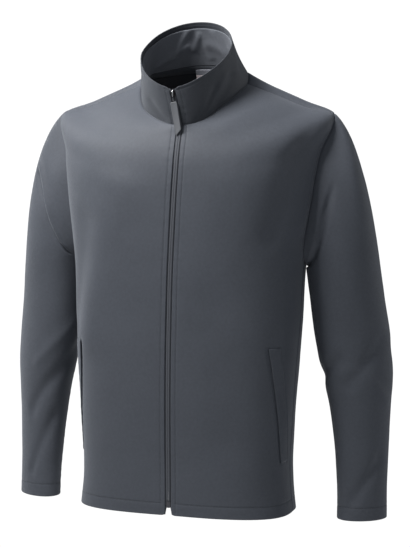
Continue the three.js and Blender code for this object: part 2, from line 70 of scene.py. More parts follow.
def columns(names, rows):
    """A table's rows as one array for each named column."""
    return dict(zip(names.split(), np.array(rows, float).T))


# Closed rings of the body from hem to neckline. A ring has its own height at centre front, side and
# centre back, and dip is how soon it leaves its height at the side. Its plan is squarer where n is
# larger, and more pointed at the side where tip is larger. ridge is how far the shoulder rises behind
# the seam, in mm.
TORSO = columns("at side_z half_w side_y front_z front_y back_z back_y front_n back_n tip ridge dip", [
    (0.0, -686, 176, 10, -683, -92, -694, 104, 2.9, 2.7, 1.0, 0, 1.8),
    (0.05, -652, 172, 10, -650, -92, -657, 104, 2.9, 2.7, 1.0, 0, 1.8),
    (0.25, -516, 175, 12, -514, -96, -515, 104, 2.8, 2.7, 1.0, 0, 1.8),
    (0.45, -388, 184, 15, -386, -99, -383, 110, 2.7, 2.7, 1.0, 0, 1.8),
    (0.62, -280, 189, 26, -282, -101, -272, 118, 2.6, 2.7, 1.0, 0, 1.8),
    (0.74, -188, 203, 38, -206, -101, -196, 126, 2.5, 2.6, 1.0, 0, 1.8),
    (0.84, -108, 215, 47, -150, -98, -128, 130, 2.3, 2.4, 1.05, 0, 1.8),
    (0.9, -54, 228, 50, -120, -93, -82, 129, 2.05, 2.1, 1.3, 2.5, 1.8),
    (0.94, -44.5, 182, 52, -102, -87, -46, 124, 2.0, 2.0, 1.2, 11, 1.8),
    (0.975, -23, 127, 50, -86, -80, -8, 115, 1.95, 2.0, 1.08, 10, 1.6),
    (1.0, -8, 87.5, 45, -71, -75, 22, 104, 1.6, 2.0, 1.0, 9.5, 1.15),
])
RIDGE_PLACE = 0.3  # how far behind the side that rise is, as a cosine of the turn

# The collar's upper edge, one ring
RIM = {"half_w": 73, "side_y": -4, "side_z": 42, "front_y": -82, "front_z": -15, "back_y": 74, "back_z": 90}
RIM_N = {"front": 1.6, "back": 2.1}
COLLAR_LEAN = 0.35  # how early the collar's sides lean in

# Rings of the left arm from the sleeve head to the cuff: centre, half sizes, turn of the long axis
ARM = columns("at x y z long short turn", [
    (0.0, 244.5, 54, -300, 59.5, 49, 22),
    (0.14, 251, 58, -352, 60, 47, 27),
    (0.3, 260, 61, -415, 61, 45, 30),
    (0.46, 268.5, 62, -478, 56.5, 41.6, 30),
    (0.54, 271.5, 61.5, -510, 51, 38.5, 30),
    (0.7, 275.5, 59, -577, 44.8, 33, 30),
    (0.86, 278, 54.5, -644, 41, 29, 30),
    (1.0, 279, 50, -697, 40.8, 28, 30),
])

# Folds run from one place to another in ring coordinates. Width is the half width in mm. Height is
# above the cloth, or below it when negative.
BODY_FOLDS = columns("t0 q0 t1 q1 width height", [
    (0.88, 0.66, 0.68, 0.56, 24, -4.5),
    (0.86, 0.86, 0.7, 0.8, 20, 3),
    (0.8, -0.27, 0.42, -0.5, 32, 3.5),
    (0.7, -0.47, 0.45, -0.66, 26, -3.5),
    (0.5, 0.25, 0.2, 0.4, 45, -3),
    (0.8, 1.75, 0.5, 1.6, 34, -4),
    (0.78, -1.72, 0.4, -1.55, 36, -4.5),
    (0.34, 1.35, 0.12, 1.7, 34, 3),
])
BODY_SPAN = (700, 285)  # mm for a whole step of each ring coordinate

# The same for the sleeves, in the sleeve's own length and turn coordinates
SLEEVE_FOLDS = columns("side t0 q0 t1 q1 width height", [
    (1, 0.16, 0.95, 0.34, 1.75, 15, -6),
    (1, 0.62, 1.2, 0.7, 2.2, 12, -4.5),
    (1, 0.58, 0.2, 0.68, 1.1, 12, -3),
    (1, 0.72, 0.1, 0.64, 0.8, 10, 2),
    (1, 0.86, 0.3, 0.97, 1.4, 13, -3.2),
    (-1, 0.185, 0.4, 0.27, 1.3, 8, 3),
    (-1, 0.215, 0.4, 0.3, 1.4, 6, -4.2),
    (-1, 0.6, 2.0, 0.78, 0.9, 13, -3.6),
    (-1, 0.54, 1.8, 0.66, 1.0, 10, 1.8),
    (-1, 0.8, 1.5, 0.93, 0.9, 12, -2.8),
    (1, 0.5, 2.8, 0.6, 3.6, 16, -4),
    (-1, 0.48, 2.7, 0.62, 3.5, 16, -4.5),
])
SLEEVE_SPAN = (640, 85)

# Creases of the collar, then those that its facing has besides, in the collar's height and turn
# coordinates. Negative is inwards.
COLLAR_FOLDS = columns("t0 q0 t1 q1 width height", [
    (0.06, 0.26, 0.5, 0.6, 7, -2.2),
    (0.16, 0.42, 0.62, 0.78, 7, 1.6),
    (0.05, 0.58, 0.42, 0.86, 8, -2.0),
    (0.5, 0.95, 0.85, 1.15, 9, 1.2),
    (0.06, -0.2, 0.34, -0.42, 8, -1.6),
    (0.5, -0.75, 0.7, -1.1, 9, -1.2),
    (0.3, 1.5, 0.5, 1.9, 9, -1.4),
    (0.25, -1.45, 0.45, -1.8, 9, -1.5),
])
FACING_FOLDS = columns("t0 q0 t1 q1 width height", [
    (0.84, -1.82, 0.28, -1.54, 5, -2.2),
    (0.74, -1.97, 0.4, -1.87, 4.5, -1.8),
    (0.5, -1.78, 0.16, -1.32, 5.5, -1.6),
    (0.8, 1.8, 0.3, 1.64, 6, -1.7),
    (0.55, 1.5, 0.2, 1.16, 7, -1.6),
    (0.82, -1.3, 0.42, -1.02, 7, -1.5),
    (0.66, 1.98, 0.2, 1.9, 5, -1.2),
])
COLLAR_SPAN = (75, 115)

# The front hangs a little askew: how far the cloth by the zip lies to the wearer's left, by height
SWAY = columns("z by", [
    (-720, 0),
    (-560, 0.5),
    (-430, 2.5),
    (-310, 6.4),
    (-190, 12.6),
    (-130, 15),
    (-85, 14.5),
    (-60, 12),
    (-35, 8),
    (-12, 3),
    (0, 1.2),
    (20, 0),
    (120, 0),
])
SWAY_REACH = 80  # how far it spreads to each side of the zip
SWAY_DEPTH = (-20, -60)  # the y between which it sets in

WELT = {"top": (0.405, 0.618), "low": (0.125, 0.815), "width": 22, "thick": 1.2}
LABEL = {"width": 36, "top": 0.995, "low": 0.966, "gap": 3.0, "sag": 0.5, "thick": 0.5}


def smooth(xs, ys, x):
    """A smooth curve through a table's rows, with three-point slopes."""
    x = np.asarray(x, float)
    steps = np.diff(xs)
    rises = np.diff(ys) / steps
    slopes = np.empty_like(ys)
    slopes[1:-1] = (rises[:-1] * steps[1:] + rises[1:] * steps[:-1]) / (steps[1:] + steps[:-1])
    slopes[0], slopes[-1] = rises[0], rises[-1]
    i = np.clip(np.searchsorted(xs, x, side="right") - 1, 0, len(xs) - 2)
    h = steps[i]
    s = (x - xs[i]) / h
    ends = (2 * s**3 - 3 * s**2 + 1) * ys[i] + (3 * s**2 - 2 * s**3) * ys[i + 1]
    return ends + h * ((s**3 - 2 * s**2 + s) * slopes[i] + (s**3 - s**2) * slopes[i + 1])


def mix(a, b, share):
    return a + (b - a) * share


def unit(vectors):
    length = np.linalg.norm(vectors, axis=-1, keepdims=True)
    return vectors / np.maximum(length, 1e-12)


def mirrored(points, side):
    return points * np.array([side, 1.0, 1.0])


def pairs(rows, columns):
    """A row's coordinate beside each of its columns' coordinates."""
    return np.broadcast_arrays(np.asarray(rows, float), np.asarray(columns, float))


def slopes(surface, row, column):
    """Slopes of a surface along its rows' coordinate and along its columns' one."""
    down = (surface(row + STEP, column) - surface(row - STEP, column)) / (2 * STEP)
    along = (surface(row, column + STEP) - surface(row, column - STEP)) / (2 * STEP)
    return down, along


def normal(surface, row, column):
    down, along = slopes(surface, row, column)
    return unit(np.cross(along, down))


def fold_lift(row, column, folds, span, around=4):
    """How far a set of folds lifts the cloth, each a soft bar with tapering ends."""
    total = np.zeros(np.broadcast(row, column).shape)
    for i in range(len(folds["t0"])):
        start = np.array([folds["t0"][i] * span[0], folds["q0"][i] * span[1]])
        end = np.array([folds["t1"][i] * span[0], folds["q1"][i] * span[1]])
        run = end - start
        for turn in (-around, 0, around):
            u = row * span[0] - start[0]
            v = (column + turn) * span[1] - start[1]
            share = np.clip((u * run[0] + v * run[1]) / (run @ run), 0, 1)
            away = np.hypot(u - share * run[0], v - share * run[1])
            total = total + folds["height"][i] * np.exp(-((away / folds["width"][i]) ** 2))
    return total


def wrap(q):
    q = np.asarray(q, float)
    return np.where(q > 2, q - 4, np.where(q < -2, q + 4, q))


def ring_reach(turn, front_n, back_n):
    """Which points of a ring are in front, with each one's cosine, sine and reach."""
    angle = np.abs(turn) * np.pi / 2
    front = np.abs(turn) <= 1
    n = np.where(front, front_n, back_n)
    c, s = np.abs(np.cos(angle)), np.abs(np.sin(angle))
    return front, c, s, (c**n + s**n) ** (-1 / n)


def plain_torso(t, q):
    """q is 0 at centre front, 1 at the wearer's left side, 2 at centre back, negative on the right."""
    t, turn = pairs(t, wrap(q))
    value = {name: smooth(TORSO["at"], TORSO[name], t) for name in TORSO}
    front, c, s, reach = ring_reach(turn, value["front_n"], value["back_n"])
    end_y = np.where(front, value["front_y"], value["back_y"])
    end_z = np.where(front, value["front_z"], value["back_z"])
    x = np.sign(turn) * value["half_w"] * reach * s
    y = mix(value["side_y"], end_y, (reach * c) ** value["tip"])
    behind = np.where(front, 0, c / RIDGE_PLACE)
    rise = value["ridge"] * (behind * np.exp(1 - behind)) ** 2
    z = mix(value["side_z"], end_z, c ** value["dip"]) + rise
    return np.stack([x, y, z], -1)


def torso(t, q):
    t, turn = pairs(t, wrap(q))
    lift = fold_lift(t, turn, BODY_FOLDS, BODY_SPAN)
    return plain_torso(t, turn) + normal(plain_torso, t, turn) * lift[..., None]


def rim(q):
    front, c, s, reach = ring_reach(q, RIM_N["front"], RIM_N["back"])
    x = np.sign(q) * RIM["half_w"] * reach * s
    y = mix(RIM["side_y"], np.where(front, RIM["front_y"], RIM["back_y"]), reach * c)
    z = mix(RIM["side_z"], np.where(front, RIM["front_z"], RIM["back_z"]), reach * c)
    return np.stack([x, y, z], -1)


def collar(v, q):
    """The collar stands from the neckline, v 0, to its rim, v 1."""
    v, turn = pairs(v, wrap(q))
    foot = torso(np.ones_like(turn), turn)
    top = rim(turn)
    lean = v + COLLAR_LEAN * np.abs(np.sin(turn * np.pi / 2)) * v * (1 - v)
    shares = np.stack([lean, lean, v], -1)
    return foot + (top - foot) * shares


def sway(points):
    """Points moved with the front's sway, for everything that the front carries."""
    x, y, z = np.moveaxis(np.asarray(points, float), -1, 0)
    start, full = SWAY_DEPTH
    forward = np.clip((start - y) / (start - full), 0, 1)
    weight = forward**2 * (3 - 2 * forward) * np.exp(-((x / SWAY_REACH) ** 2))
    height = np.clip(z, SWAY["z"][0], SWAY["z"][-1])
    return np.stack([x + smooth(SWAY["z"], SWAY["by"], height) * weight, y, z], -1)


def zip_turn(s, x):
    """The turn coordinate that lies x mm from centre front, on the body or on the collar above it."""
    s = np.asarray(s, float)
    above = mix(TORSO["half_w"][-1], RIM["half_w"], s - 1)
    half = np.where(s <= 1, smooth(TORSO["at"], TORSO["half_w"], np.minimum(s, 1)), above)
    return (2 / np.pi) * np.arcsin(x / half)


def front_strip(s, x):
    """The front near the zip: s runs up the body to 1 and on up the collar, x is mm from the centre."""
    s, x = pairs(s, x)
    q = zip_turn(s, x)
    body = torso(np.minimum(s, 1), q)
    above = collar(np.maximum(s - 1, 0), q)
    return np.where((s <= 1)[..., None], body, above)


def armhole(body, q, grow):
    """A place on the armhole: q is 0 at the shoulder tip, 1 in front, 2 at the underarm, 3 behind.
    grow widens the loop by that many mm, onto the body."""
    angle = np.asarray(q, float) * np.pi / 2
    middle, half = (HOLE["low"] + HOLE["high"]) / 2, (HOLE["high"] - HOLE["low"]) / 2
    depth = np.where(np.sin(angle) > 0, HOLE["front"], HOLE["back"])
    sideways = np.sign(np.sin(angle)) * np.abs(np.sin(angle)) ** HOLE["round"]
    t, turn = middle + half * np.cos(angle), 1 - depth * sideways
    down, along = slopes(body, t, turn)
    taller = half + grow / np.linalg.norm(down, axis=-1)
    wider = depth + grow / np.linalg.norm(along, axis=-1)
    return middle + taller * np.cos(angle), 1 - wider * sideways


def arm(k, q):
    value = {name: smooth(ARM["at"], ARM[name], k) for name in ARM}
    angle = q * np.pi / 2
    turned = angle + np.radians(value["turn"])
    reach = 1 / np.hypot(np.cos(turned) / value["long"], np.sin(turned) / value["short"])
    x = value["x"] + reach * np.cos(angle)
    y = value["y"] - reach * np.sin(angle)
    return np.stack([x, y, value["z"] + 0 * angle], -1)


# How the sleeve head leaves the armhole in front, and below. Its handles are shares of the way across,
# at its top, its middle and its underarm, first by the armhole and then by the arm.
HEAD_OUTWARD = (0.8, -0.25, -0.55)
HEAD_DOWNWARD = np.array([0.35, 0, -0.94])
HEAD_HANDLES = ((0.15, 0.18, 0.3), (0.6, 0.48, 0.3))


def sleeve_head(body, share, q):
    """From the armhole, share 0, to the arm's first ring, share 1. At the top it leaves in line with
    the shoulder's tip, and at the underarm it leaves downwards."""
    start = body(*armhole(body, q, 0))
    end = arm(np.zeros_like(q), q)
    onward, _ = slopes(body, np.array(HOLE["high"]), np.array(1.0))
    angle = q * np.pi / 2
    top = np.maximum(np.cos(angle), 0) ** 1.5
    low = np.maximum(-np.cos(angle), 0) ** 2
    middle = 1 - top - low
    outward = np.stack([np.ones_like(q), np.sin(angle), np.ones_like(q)], -1) * HEAD_OUTWARD
    leave = unit(
        outward * middle[..., None] + HEAD_DOWNWARD * low[..., None] - unit(onward) * top[..., None]
    )
    arrive = unit(arm(np.full_like(q, 0.02), q) - end)
    span = np.linalg.norm(end - start, axis=-1)
    near, far = [(span * (a * top + b * middle + c * low))[..., None] for a, b, c in HEAD_HANDLES]
    first, second = start + leave * near, end - arrive * far
    s = share[..., None]
    return (1 - s) ** 3 * start + 3 * (1 - s) ** 2 * s * first + 3 * (1 - s) * s**2 * second + s**3 * end


def half_body(side):
    """The body with the wearer's given side on the left."""
    def body(t, q):
        return mirrored(torso(t, side * q), side)
    return body


def make_sleeve(side):
    """The whole sleeve as a surface, with k from 0 at the armhole to 1 at the cuff."""
    body = half_body(side)
    chosen = SLEEVE_FOLDS["side"] == side
    folds = {name: values[chosen] for name, values in SLEEVE_FOLDS.items()}

    def plain(k, q):
        k, q = pairs(k, q)
        head = sleeve_head(body, np.clip(k / CAP_SHARE, 0, 1), q)
        below = arm(np.maximum(k - CAP_SHARE, 0) / (1 - CAP_SHARE), q)
        return np.where((k < CAP_SHARE)[..., None], head, below)

    def surface(k, q):
        k, turn = pairs(k, np.asarray(q, float) % 4)
        lift = fold_lift(k, turn, folds, SLEEVE_SPAN)
        return mirrored(plain(k, turn) + normal(plain, k, turn) * lift[..., None], side)

    return surface


# Grids of points on a surface


def spaced(length, start, end, count):
    """Distances from 0 to length: the given ones near each end, and count even steps between."""
    tail = length - np.array(end[::-1], float)
    middle = np.linspace(start[-1], tail[0], count + 1)[1:-1]
    return np.concatenate([start, middle, tail])


def row_turns(surface, row, q0, q1, start, end, count):
    """Column coordinates for each row, at the wanted distances in mm along that row."""
    fine = 160
    shares = np.linspace(0, 1, fine + 1)
    turns = q0[:, None] + (q1 - q0)[:, None] * shares
    points = surface(row[:, None], turns)
    lengths = np.zeros_like(turns)
    lengths[:, 1:] = np.cumsum(np.linalg.norm(np.diff(points, axis=1), axis=-1), axis=1)
    return np.array([
        np.interp(spaced(length[-1], start, end, count), length, turn)
        for length, turn in zip(lengths, turns)
    ])


def grid_normals(points, ring, facing):
    """Outward unit normals of a grid of points."""
    if ring:
        across = np.roll(points, -1, axis=1) - np.roll(points, 1, axis=1)
    else:
        across = np.gradient(points, axis=1)
    return unit(np.cross(across, np.gradient(points, axis=0))) * facing


def run_along(path):
    """How far along a path each of its points lies."""
    return np.concatenate([[0], np.cumsum(np.linalg.norm(np.diff(path, axis=0), axis=1))])


PATH_REACH = 30  # mm from a path within which cloth can feel its stitching
BLOCK = 4000  # points that are measured at once


def away_from(points, path):
    """Distance of each grid point to a path, and how far along the path its nearest point is."""
    flat = points.reshape(-1, 3)
    run = run_along(path)
    low, high = path.min(0) - PATH_REACH, path.max(0) + PATH_REACH
    near = np.where(((flat > low) & (flat < high)).all(1))[0]
    distance = np.full(len(flat), np.inf)
    place = np.zeros(len(flat))
    for block in np.array_split(near, max(1, len(near) // BLOCK)):
        gaps = ((flat[block, None] - path[None]) ** 2).sum(-1)
        best = gaps.argmin(1)
        distance[block] = np.sqrt(gaps[np.arange(len(block)), best])
        place[block] = run[best]
    return distance.reshape(points.shape[:2]), place.reshape(points.shape[:2])


PUCKERS = ((9.5, 0.35), (14.2, 0.4), (23.0, 0.25))  # length in mm and share of each wave
PUCKER_REACH = 7


def pucker(place, seed):
    """Small uneven waves along a seam, from -1 to 1."""
    total = np.zeros_like(place)
    for i, (length, share) in enumerate(PUCKERS):
        total = total + share * np.sin(place * 2 * np.pi / length + seed * (3 + i))
    return total


def stitched(points, normals, path, seed, depth=0.45, width=1.1, waves=0.22):
    """Sinks a stitch line into a grid, with the puckers that it draws in the cloth beside it."""
    distance, place = away_from(points, path)
    sink = -depth * np.exp(-((distance / width) ** 2))
    wave = waves * pucker(place, seed) * np.exp(-((distance / PUCKER_REACH) ** 2))
    return points + normals * (sink + wave)[..., None]


CRUMPLES = ((55, 0.6), (16, 0.12))  # size and height, in mm
CRUMPLE_SHIFT = Vector((21.9, 9.3, 17.1))


def crumpled(points, normals):
    """Very slight unevenness, as in any cloth that hangs. Neighbours share it, so seams stay closed."""
    lift = np.empty(points.shape[:2])
    for i, row in enumerate(points):
        for j, point in enumerate(row):
            at = Vector(point)
            lift[i, j] = sum(high * noise.noise(at / size + CRUMPLE_SHIFT) for size, high in CRUMPLES)
    return points + normals * lift[..., None]


def lengths_along(points, axis):
    gaps = np.linalg.norm(np.diff(points, axis=axis), axis=-1)
    total = np.cumsum(gaps, axis=axis)
    pad = [(0, 0), (0, 0)]
    pad[axis] = (1, 0)
    return np.pad(total, pad)


def round_edges(points, normals, sides, depth=0.5, width=1.2):
    """Lets the cloth fall away towards the given edges, as it does into a seam."""
    down, along = lengths_along(points, 0), lengths_along(points, 1)
    away = {
        "low": down,
        "high": down[-1:] - down,
        "start": along,
        "end": along[:, -1:] - along,
    }
    drop = np.zeros(points.shape[:2])
    for side in sides:
        drop = np.maximum(drop, depth * np.exp(-((away[side] / width) ** 2)))
    return points - normals * drop[..., None]


# Meshes


def make_object(name, points, faces, materials, face_materials=None, uvs=None):
    mesh = bpy.data.meshes.new(name)
    mesh.from_pydata((np.asarray(points) * MM).tolist(), [], faces)
    for material in materials:
        mesh.materials.append(material)
    if face_materials is not None:
        mesh.polygons.foreach_set("material_index", np.array(face_materials, np.int32))
    mesh.polygons.foreach_set("use_smooth", np.ones(len(mesh.polygons), bool))
    if uvs is not None:
        layer = mesh.uv_layers.new(name="cloth")
        corner_points = np.empty(len(mesh.loops), np.int32)
        mesh.loops.foreach_get("vertex_index", corner_points)
        layer.data.foreach_set("uv", (np.asarray(uvs) * MM)[corner_points].ravel().astype(np.float32))
    mesh.update()
    obj = bpy.data.objects.new(name, mesh)
    bpy.context.scene.collection.objects.link(obj)
    return obj


def bar_faces(first, rings, sides):
    """Faces of a bar made of rings of points from the number first on, closed at both ends."""
    faces = []
    for a in range(first, first + (rings - 1) * sides, sides):
        for i in range(sides):
            j = (i + 1) % sides
            faces.append([a + i, a + j, a + sides + j, a + sides + i])
    start = list(range(first, first + sides))
    return [*faces, start[::-1], [i + (rings - 1) * sides for i in start]]


LIP_ANGLES = np.radians([45, 90, 135])


def cloth_shell(name, outer, wall, materials, facing=1, ring=False, lips=None):
    """A closed wall of cloth under a grid of outer points. lips gives, for each edge, how far its
    rounded fold stands out past the grid, in mm. The second material is for the inner side."""
    rows, across = outer.shape[:2]
    normals = grid_normals(outer, ring, facing)
    wall = np.broadcast_to(np.asarray(wall, float), (rows, across))
    inner = outer - normals * wall[..., None]
    down = unit(np.gradient(outer, axis=0))
    along = unit(np.gradient(outer, axis=1))
    points = [outer.reshape(-1, 3), inner.reshape(-1, 3)]
    uv = np.stack([lengths_along(outer, 1), lengths_along(outer, 0)], -1).reshape(-1, 2)
    uvs = [uv, uv]

    count = rows * across
    number = np.arange(count).reshape(rows, across)
    if ring:
        loops = [number[0], number[-1, ::-1]]
        number = np.pad(number, ((0, 0), (0, 1)), "wrap")
    else:
        loops = [np.concatenate([number[0], number[1:, -1], number[-1, -2::-1], number[-2:0:-1, 0]])]
    quads = np.stack([number[:-1, :-1], number[:-1, 1:], number[1:, 1:], number[1:, :-1]], -1).reshape(-1, 4)
    faces = [np.stack([quads, quads[:, ::-1] + count], 1).reshape(-1, 4)]
    kinds = [0, 1] * len(quads)

    for loop in loops:
        r, c = np.divmod(loop, across)
        edges = {
            "low": (r == 0, -down[r, c]),
            "high": (r == rows - 1, down[r, c]),
            "start": (c == 0, -along[r, c]),
            "end": (c == across - 1, along[r, c]),
        }
        out = np.zeros((len(loop), 3))
        for edge, reach in (lips or {}).items():
            chosen, direction = edges[edge]
            out[chosen] += direction[chosen] * reach
        numbers = [loop]
        for angle in LIP_ANGLES:
            sunk = normals[r, c] * (wall[r, c] / 2 * (1 - math.cos(angle)))[:, None]
            numbers.append(np.arange(len(loop)) + sum(map(len, points)))
            points.append(outer[r, c] + out * math.sin(angle) - sunk)
            uvs.append(uv[loop])
        numbers.append(loop + count)
        for first, second in zip(numbers, numbers[1:]):
            faces.append(np.stack([first, second, np.roll(second, -1), np.roll(first, -1)], -1))
            kinds += [0] * len(loop)
    faces = np.concatenate(faces)[:, ::facing].tolist()
    return make_object(name, sway(np.concatenate(points)), faces, materials, kinds, np.concatenate(uvs))


def finish_piece(obj, node, body="jacket"):
    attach(obj, body)
    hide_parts(node)
    return obj


def cloth_piece(node, outer, wall, materials, facing=1, ring=False, lips=None, made="cloth"):
    obj = cloth_shell(f"{node}_{made}", outer, wall, materials, facing, ring, lips)
    return finish_piece(obj, node)


# Materials


def new_material(name):
    material = bpy.data.materials.new(name)
    material.use_nodes = True
    tree = material.node_tree
    shader = tree.nodes["Principled BSDF"]
    return material, tree, shader


def link(tree, source, target):
    tree.links.new(source, target)


def math_node(tree, operation, first, second=None):
    node = tree.nodes.new("ShaderNodeMath")
    node.operation = operation
    for i, value in enumerate((first, second)):
        if value is None:
            continue
        if hasattr(value, "is_linked"):
            link(tree, value, node.inputs[i])
        else:
            node.inputs[i].default_value = value
    return node.outputs[0]


def noise_texture(tree, place, scale, detail):
    """A noise in the object's own coordinates, with features about a metre / scale across."""
    node = tree.nodes.new("ShaderNodeTexNoise")
    node.inputs["Scale"].default_value = scale
    node.inputs["Detail"].default_value = detail
    link(tree, place.outputs["Object"], node.inputs["Vector"])
    return node.outputs["Fac"]


def set_bump(tree, shader, height, depth):
    bump = tree.nodes.new("ShaderNodeBump")
    bump.inputs["Strength"].default_value = 1.0
    bump.inputs["Distance"].default_value = depth * MM
    link(tree, height, bump.inputs["Height"])
    link(tree, bump.outputs["Normal"], shader.inputs["Normal"])


def set_colour(tree, shader, colour, mottle, factor):
    """A colour that varies by the share mottle each way, as the factor goes from 0 to 1."""
    blend = tree.nodes.new("ShaderNodeMix")
    blend.data_type = "RGBA"
    for end, share in (("A", 1 - mottle), ("B", 1 + mottle)):
        blend.inputs[end].default_value = (*[value * share for value in colour], 1)
    link(tree, factor, blend.inputs["Factor"])
    link(tree, blend.outputs["Result"], shader.inputs["Base Color"])


# Scale, detail and share in the colour: a fine grain, which is in the height too, flecks and clouds
CLOTH_NOISES = ((900, 3, 0.25), (230, 2, 0.45), (14, 4, 0.3))
WEAVE_SHARE = 0.35  # of the weave in the height, beside the grain
SOLID_GRAIN = (600, 4)


def cloth_material(
    name, colour, *, pitch, weave_depth, mottle, roughness, sheen, tint, sheen_roughness=0.45,
):
    """Woven cloth: two sets of threads across each other, with a slightly mottled colour."""
    material, tree, shader = new_material(name)
    place = tree.nodes.new("ShaderNodeTexCoord")
    split = tree.nodes.new("ShaderNodeSeparateXYZ")
    link(tree, place.outputs["UV"], split.inputs[0])
    waves = []
    for axis in ("X", "Y"):
        turns = math_node(tree, "MULTIPLY", split.outputs[axis], 2 * math.pi / (pitch * MM))
        waves.append(math_node(tree, "SINE", turns))
    weave = math_node(tree, "MULTIPLY", waves[0], waves[1])

    noises = [noise_texture(tree, place, scale, detail) for scale, detail, _ in CLOTH_NOISES]
    mixed = 0
    for source, (_, _, share) in zip(noises, CLOTH_NOISES):
        mixed = math_node(tree, "ADD", math_node(tree, "MULTIPLY", source, share), mixed)
    height = math_node(tree, "ADD", math_node(tree, "MULTIPLY", weave, WEAVE_SHARE), noises[0])
    set_bump(tree, shader, height, weave_depth)
    set_colour(tree, shader, colour, mottle, mixed)
    shader.inputs["Roughness"].default_value = roughness
    shader.inputs["Specular IOR Level"].default_value = 0.3
    shader.inputs["Sheen Weight"].default_value = sheen
    shader.inputs["Sheen Roughness"].default_value = sheen_roughness
    shader.inputs["Sheen Tint"].default_value = (*tint, 1)
    return material


def solid_material(name, colour, *, roughness, metallic=0.0, grain_depth=0.02, mottle=0.08):
    """Metal, rubber or moulded plastic with a fine grain."""
    material, tree, shader = new_material(name)
    place = tree.nodes.new("ShaderNodeTexCoord")
    grain = noise_texture(tree, place, *SOLID_GRAIN)
    set_bump(tree, shader, grain, grain_depth)
    set_colour(tree, shader, colour, mottle, grain)
    shader.inputs["Roughness"].default_value = roughness
    shader.inputs["Metallic"].default_value = metallic
    return material


SMOOTH_FACE = {
    "pitch": 0.9, "weave_depth": 0.09, "mottle": 0.32,
    "roughness": 0.62, "sheen": 0.22, "tint": (0.75, 0.8, 0.88),
}
SATIN = {
    "pitch": 0.6, "weave_depth": 0.05, "mottle": 0.08,
    "roughness": 0.45, "sheen": 0.2, "tint": (0.9, 0.9, 0.95),
}
# The collar's cloth is a darker copy of the body's cloth: painted shade, for the dimmer light that falls on
# its upright sides
SOFTSHELL = cloth_material("softshell_cloth", (0.065, 0.073, 0.09), **SMOOTH_FACE)
COLLAR_PAINTED_SHADE_CLOTH = cloth_material("softshell_collar_painted_shade", (0.039, 0.044, 0.054), **SMOOTH_FACE)
FLEECE = cloth_material(
    "inner_fleece", (0.028, 0.03, 0.036), pitch=1.4, weave_depth=0.16, mottle=0.12,
    roughness=0.9, sheen=0.15, tint=(0.6, 0.62, 0.68), sheen_roughness=0.6,
)
FACING = cloth_material(
    "facing_cloth", (0.125, 0.136, 0.158), pitch=0.9, weave_depth=0.09, mottle=0.2,
    roughness=0.66, sheen=0.2, tint=(0.72, 0.76, 0.85),
)
TAPE = cloth_material(
    "zip_tape_weave", (0.07, 0.076, 0.09), pitch=1.3, weave_depth=0.12, mottle=0.1,
    roughness=0.7, sheen=0.15, tint=(0.7, 0.74, 0.8),
)
THREAD = cloth_material(
    "sewing_thread", (0.052, 0.058, 0.07), pitch=0.5, weave_depth=0.05, mottle=0.1,
    roughness=0.5, sheen=0.3, tint=(0.8, 0.84, 0.9),
)
LABEL_PALE = cloth_material("label_pale", (0.95, 0.83, 0.85), **SATIN)
LABEL_GREY = cloth_material("label_grey", (0.24, 0.25, 0.29), **SATIN)
NICKEL = solid_material("nickel", (0.72, 0.73, 0.75), roughness=0.2, metallic=1.0, grain_depth=0.005)
BLACK_METAL = solid_material("black_metal", (0.02, 0.02, 0.023), roughness=0.35, metallic=0.7)
RUBBER = solid_material("grey_rubber", (0.115, 0.122, 0.135), roughness=0.45, grain_depth=0.05)

# The body's panels

# How far from an edge a panel's points lie, in mm, closer together where it is stitched
FINE_START = [0, 0.5, 1.1, 2.0, 3.2, 4.6, 5.5, 6.0, 6.5, 7.0, 7.6, 8.6, 10.4]
FINE_END = [0, 0.5, 1.1, 2.0, 3.2, 4.4, 5.2, 5.7, 6.2, 6.8, 7.6, 9.0, 11.0]
ARMHOLE_POINTS = 500
FRONT_HALF = np.linspace(0.02, 1.98, ARMHOLE_POINTS)  # of the armhole's turns, on a front
BACK_HALF = np.linspace(2.02, 3.98, 600)
LOW_ROWS = [0, 0.6, 1.4, 2.6, 4.4, 7, 10, 13, 16, 18, 19, 19.6, 20.2, 20.8, 21.8, 23.5]
FRONT_COLUMNS = 66
BACK_COLUMNS = 112
ROWS_BELOW = 118
ROWS_BESIDE = 76
ROWS_ABOVE = 40


def panel_rows(side):
    """Row heights shared by front and back, with the turn of both armhole edges at each."""
    body = half_body(side)
    loop = np.linspace(2, 0, ROWS_BESIDE + 1)
    t_loop, front_loop = armhole(body, loop, SEAM_GAP / 2)
    _, back_loop = armhole(body, 4 - loop, SEAM_GAP / 2)
    mm = 1 / BODY_SPAN[0]
    below = spaced(t_loop[0] / mm, LOW_ROWS, [3], ROWS_BELOW) * mm
    above = np.linspace(t_loop[-1], 1 - SEAM_GAP / 2 * mm, ROWS_ABOVE + 1)[1:]
    t = np.concatenate([below, t_loop, above])
    _, along = slopes(body, t, np.ones_like(t))
    seam = SEAM_GAP / 2 / np.linalg.norm(along, axis=-1)
    pad_low, pad_high = np.ones(len(below)), np.ones(len(above))
    front = np.minimum(np.concatenate([pad_low, front_loop, pad_high]), 1 - seam)
    back = np.maximum(np.concatenate([pad_low, back_loop, pad_high]), 1 + seam)
    return t, front, back


def armhole_line(side, turns):
    """The stitching round the armhole, on the body."""
    body = half_body(side)
    return mirrored(body(*armhole(body, turns, ARMHOLE_STITCH)), side)


def zip_line(side, start, end):
    """The stitching beside the zip, by the height of the front."""
    return mirrored(front_strip(np.linspace(start, end, PATH_POINTS), ZIP_SLOT + EDGE_STITCH), side)


def hem_line(q0, q1):
    q = np.linspace(q0, q1, PATH_POINTS)
    return torso(np.full_like(q, HEM_TURN / BODY_SPAN[0]), q)


def cuff_line(surface):
    q = np.linspace(0, 4, ARMHOLE_POINTS)
    return surface(np.full_like(q, 1 - HEM_TURN / SLEEVE_SPAN[0]), q)


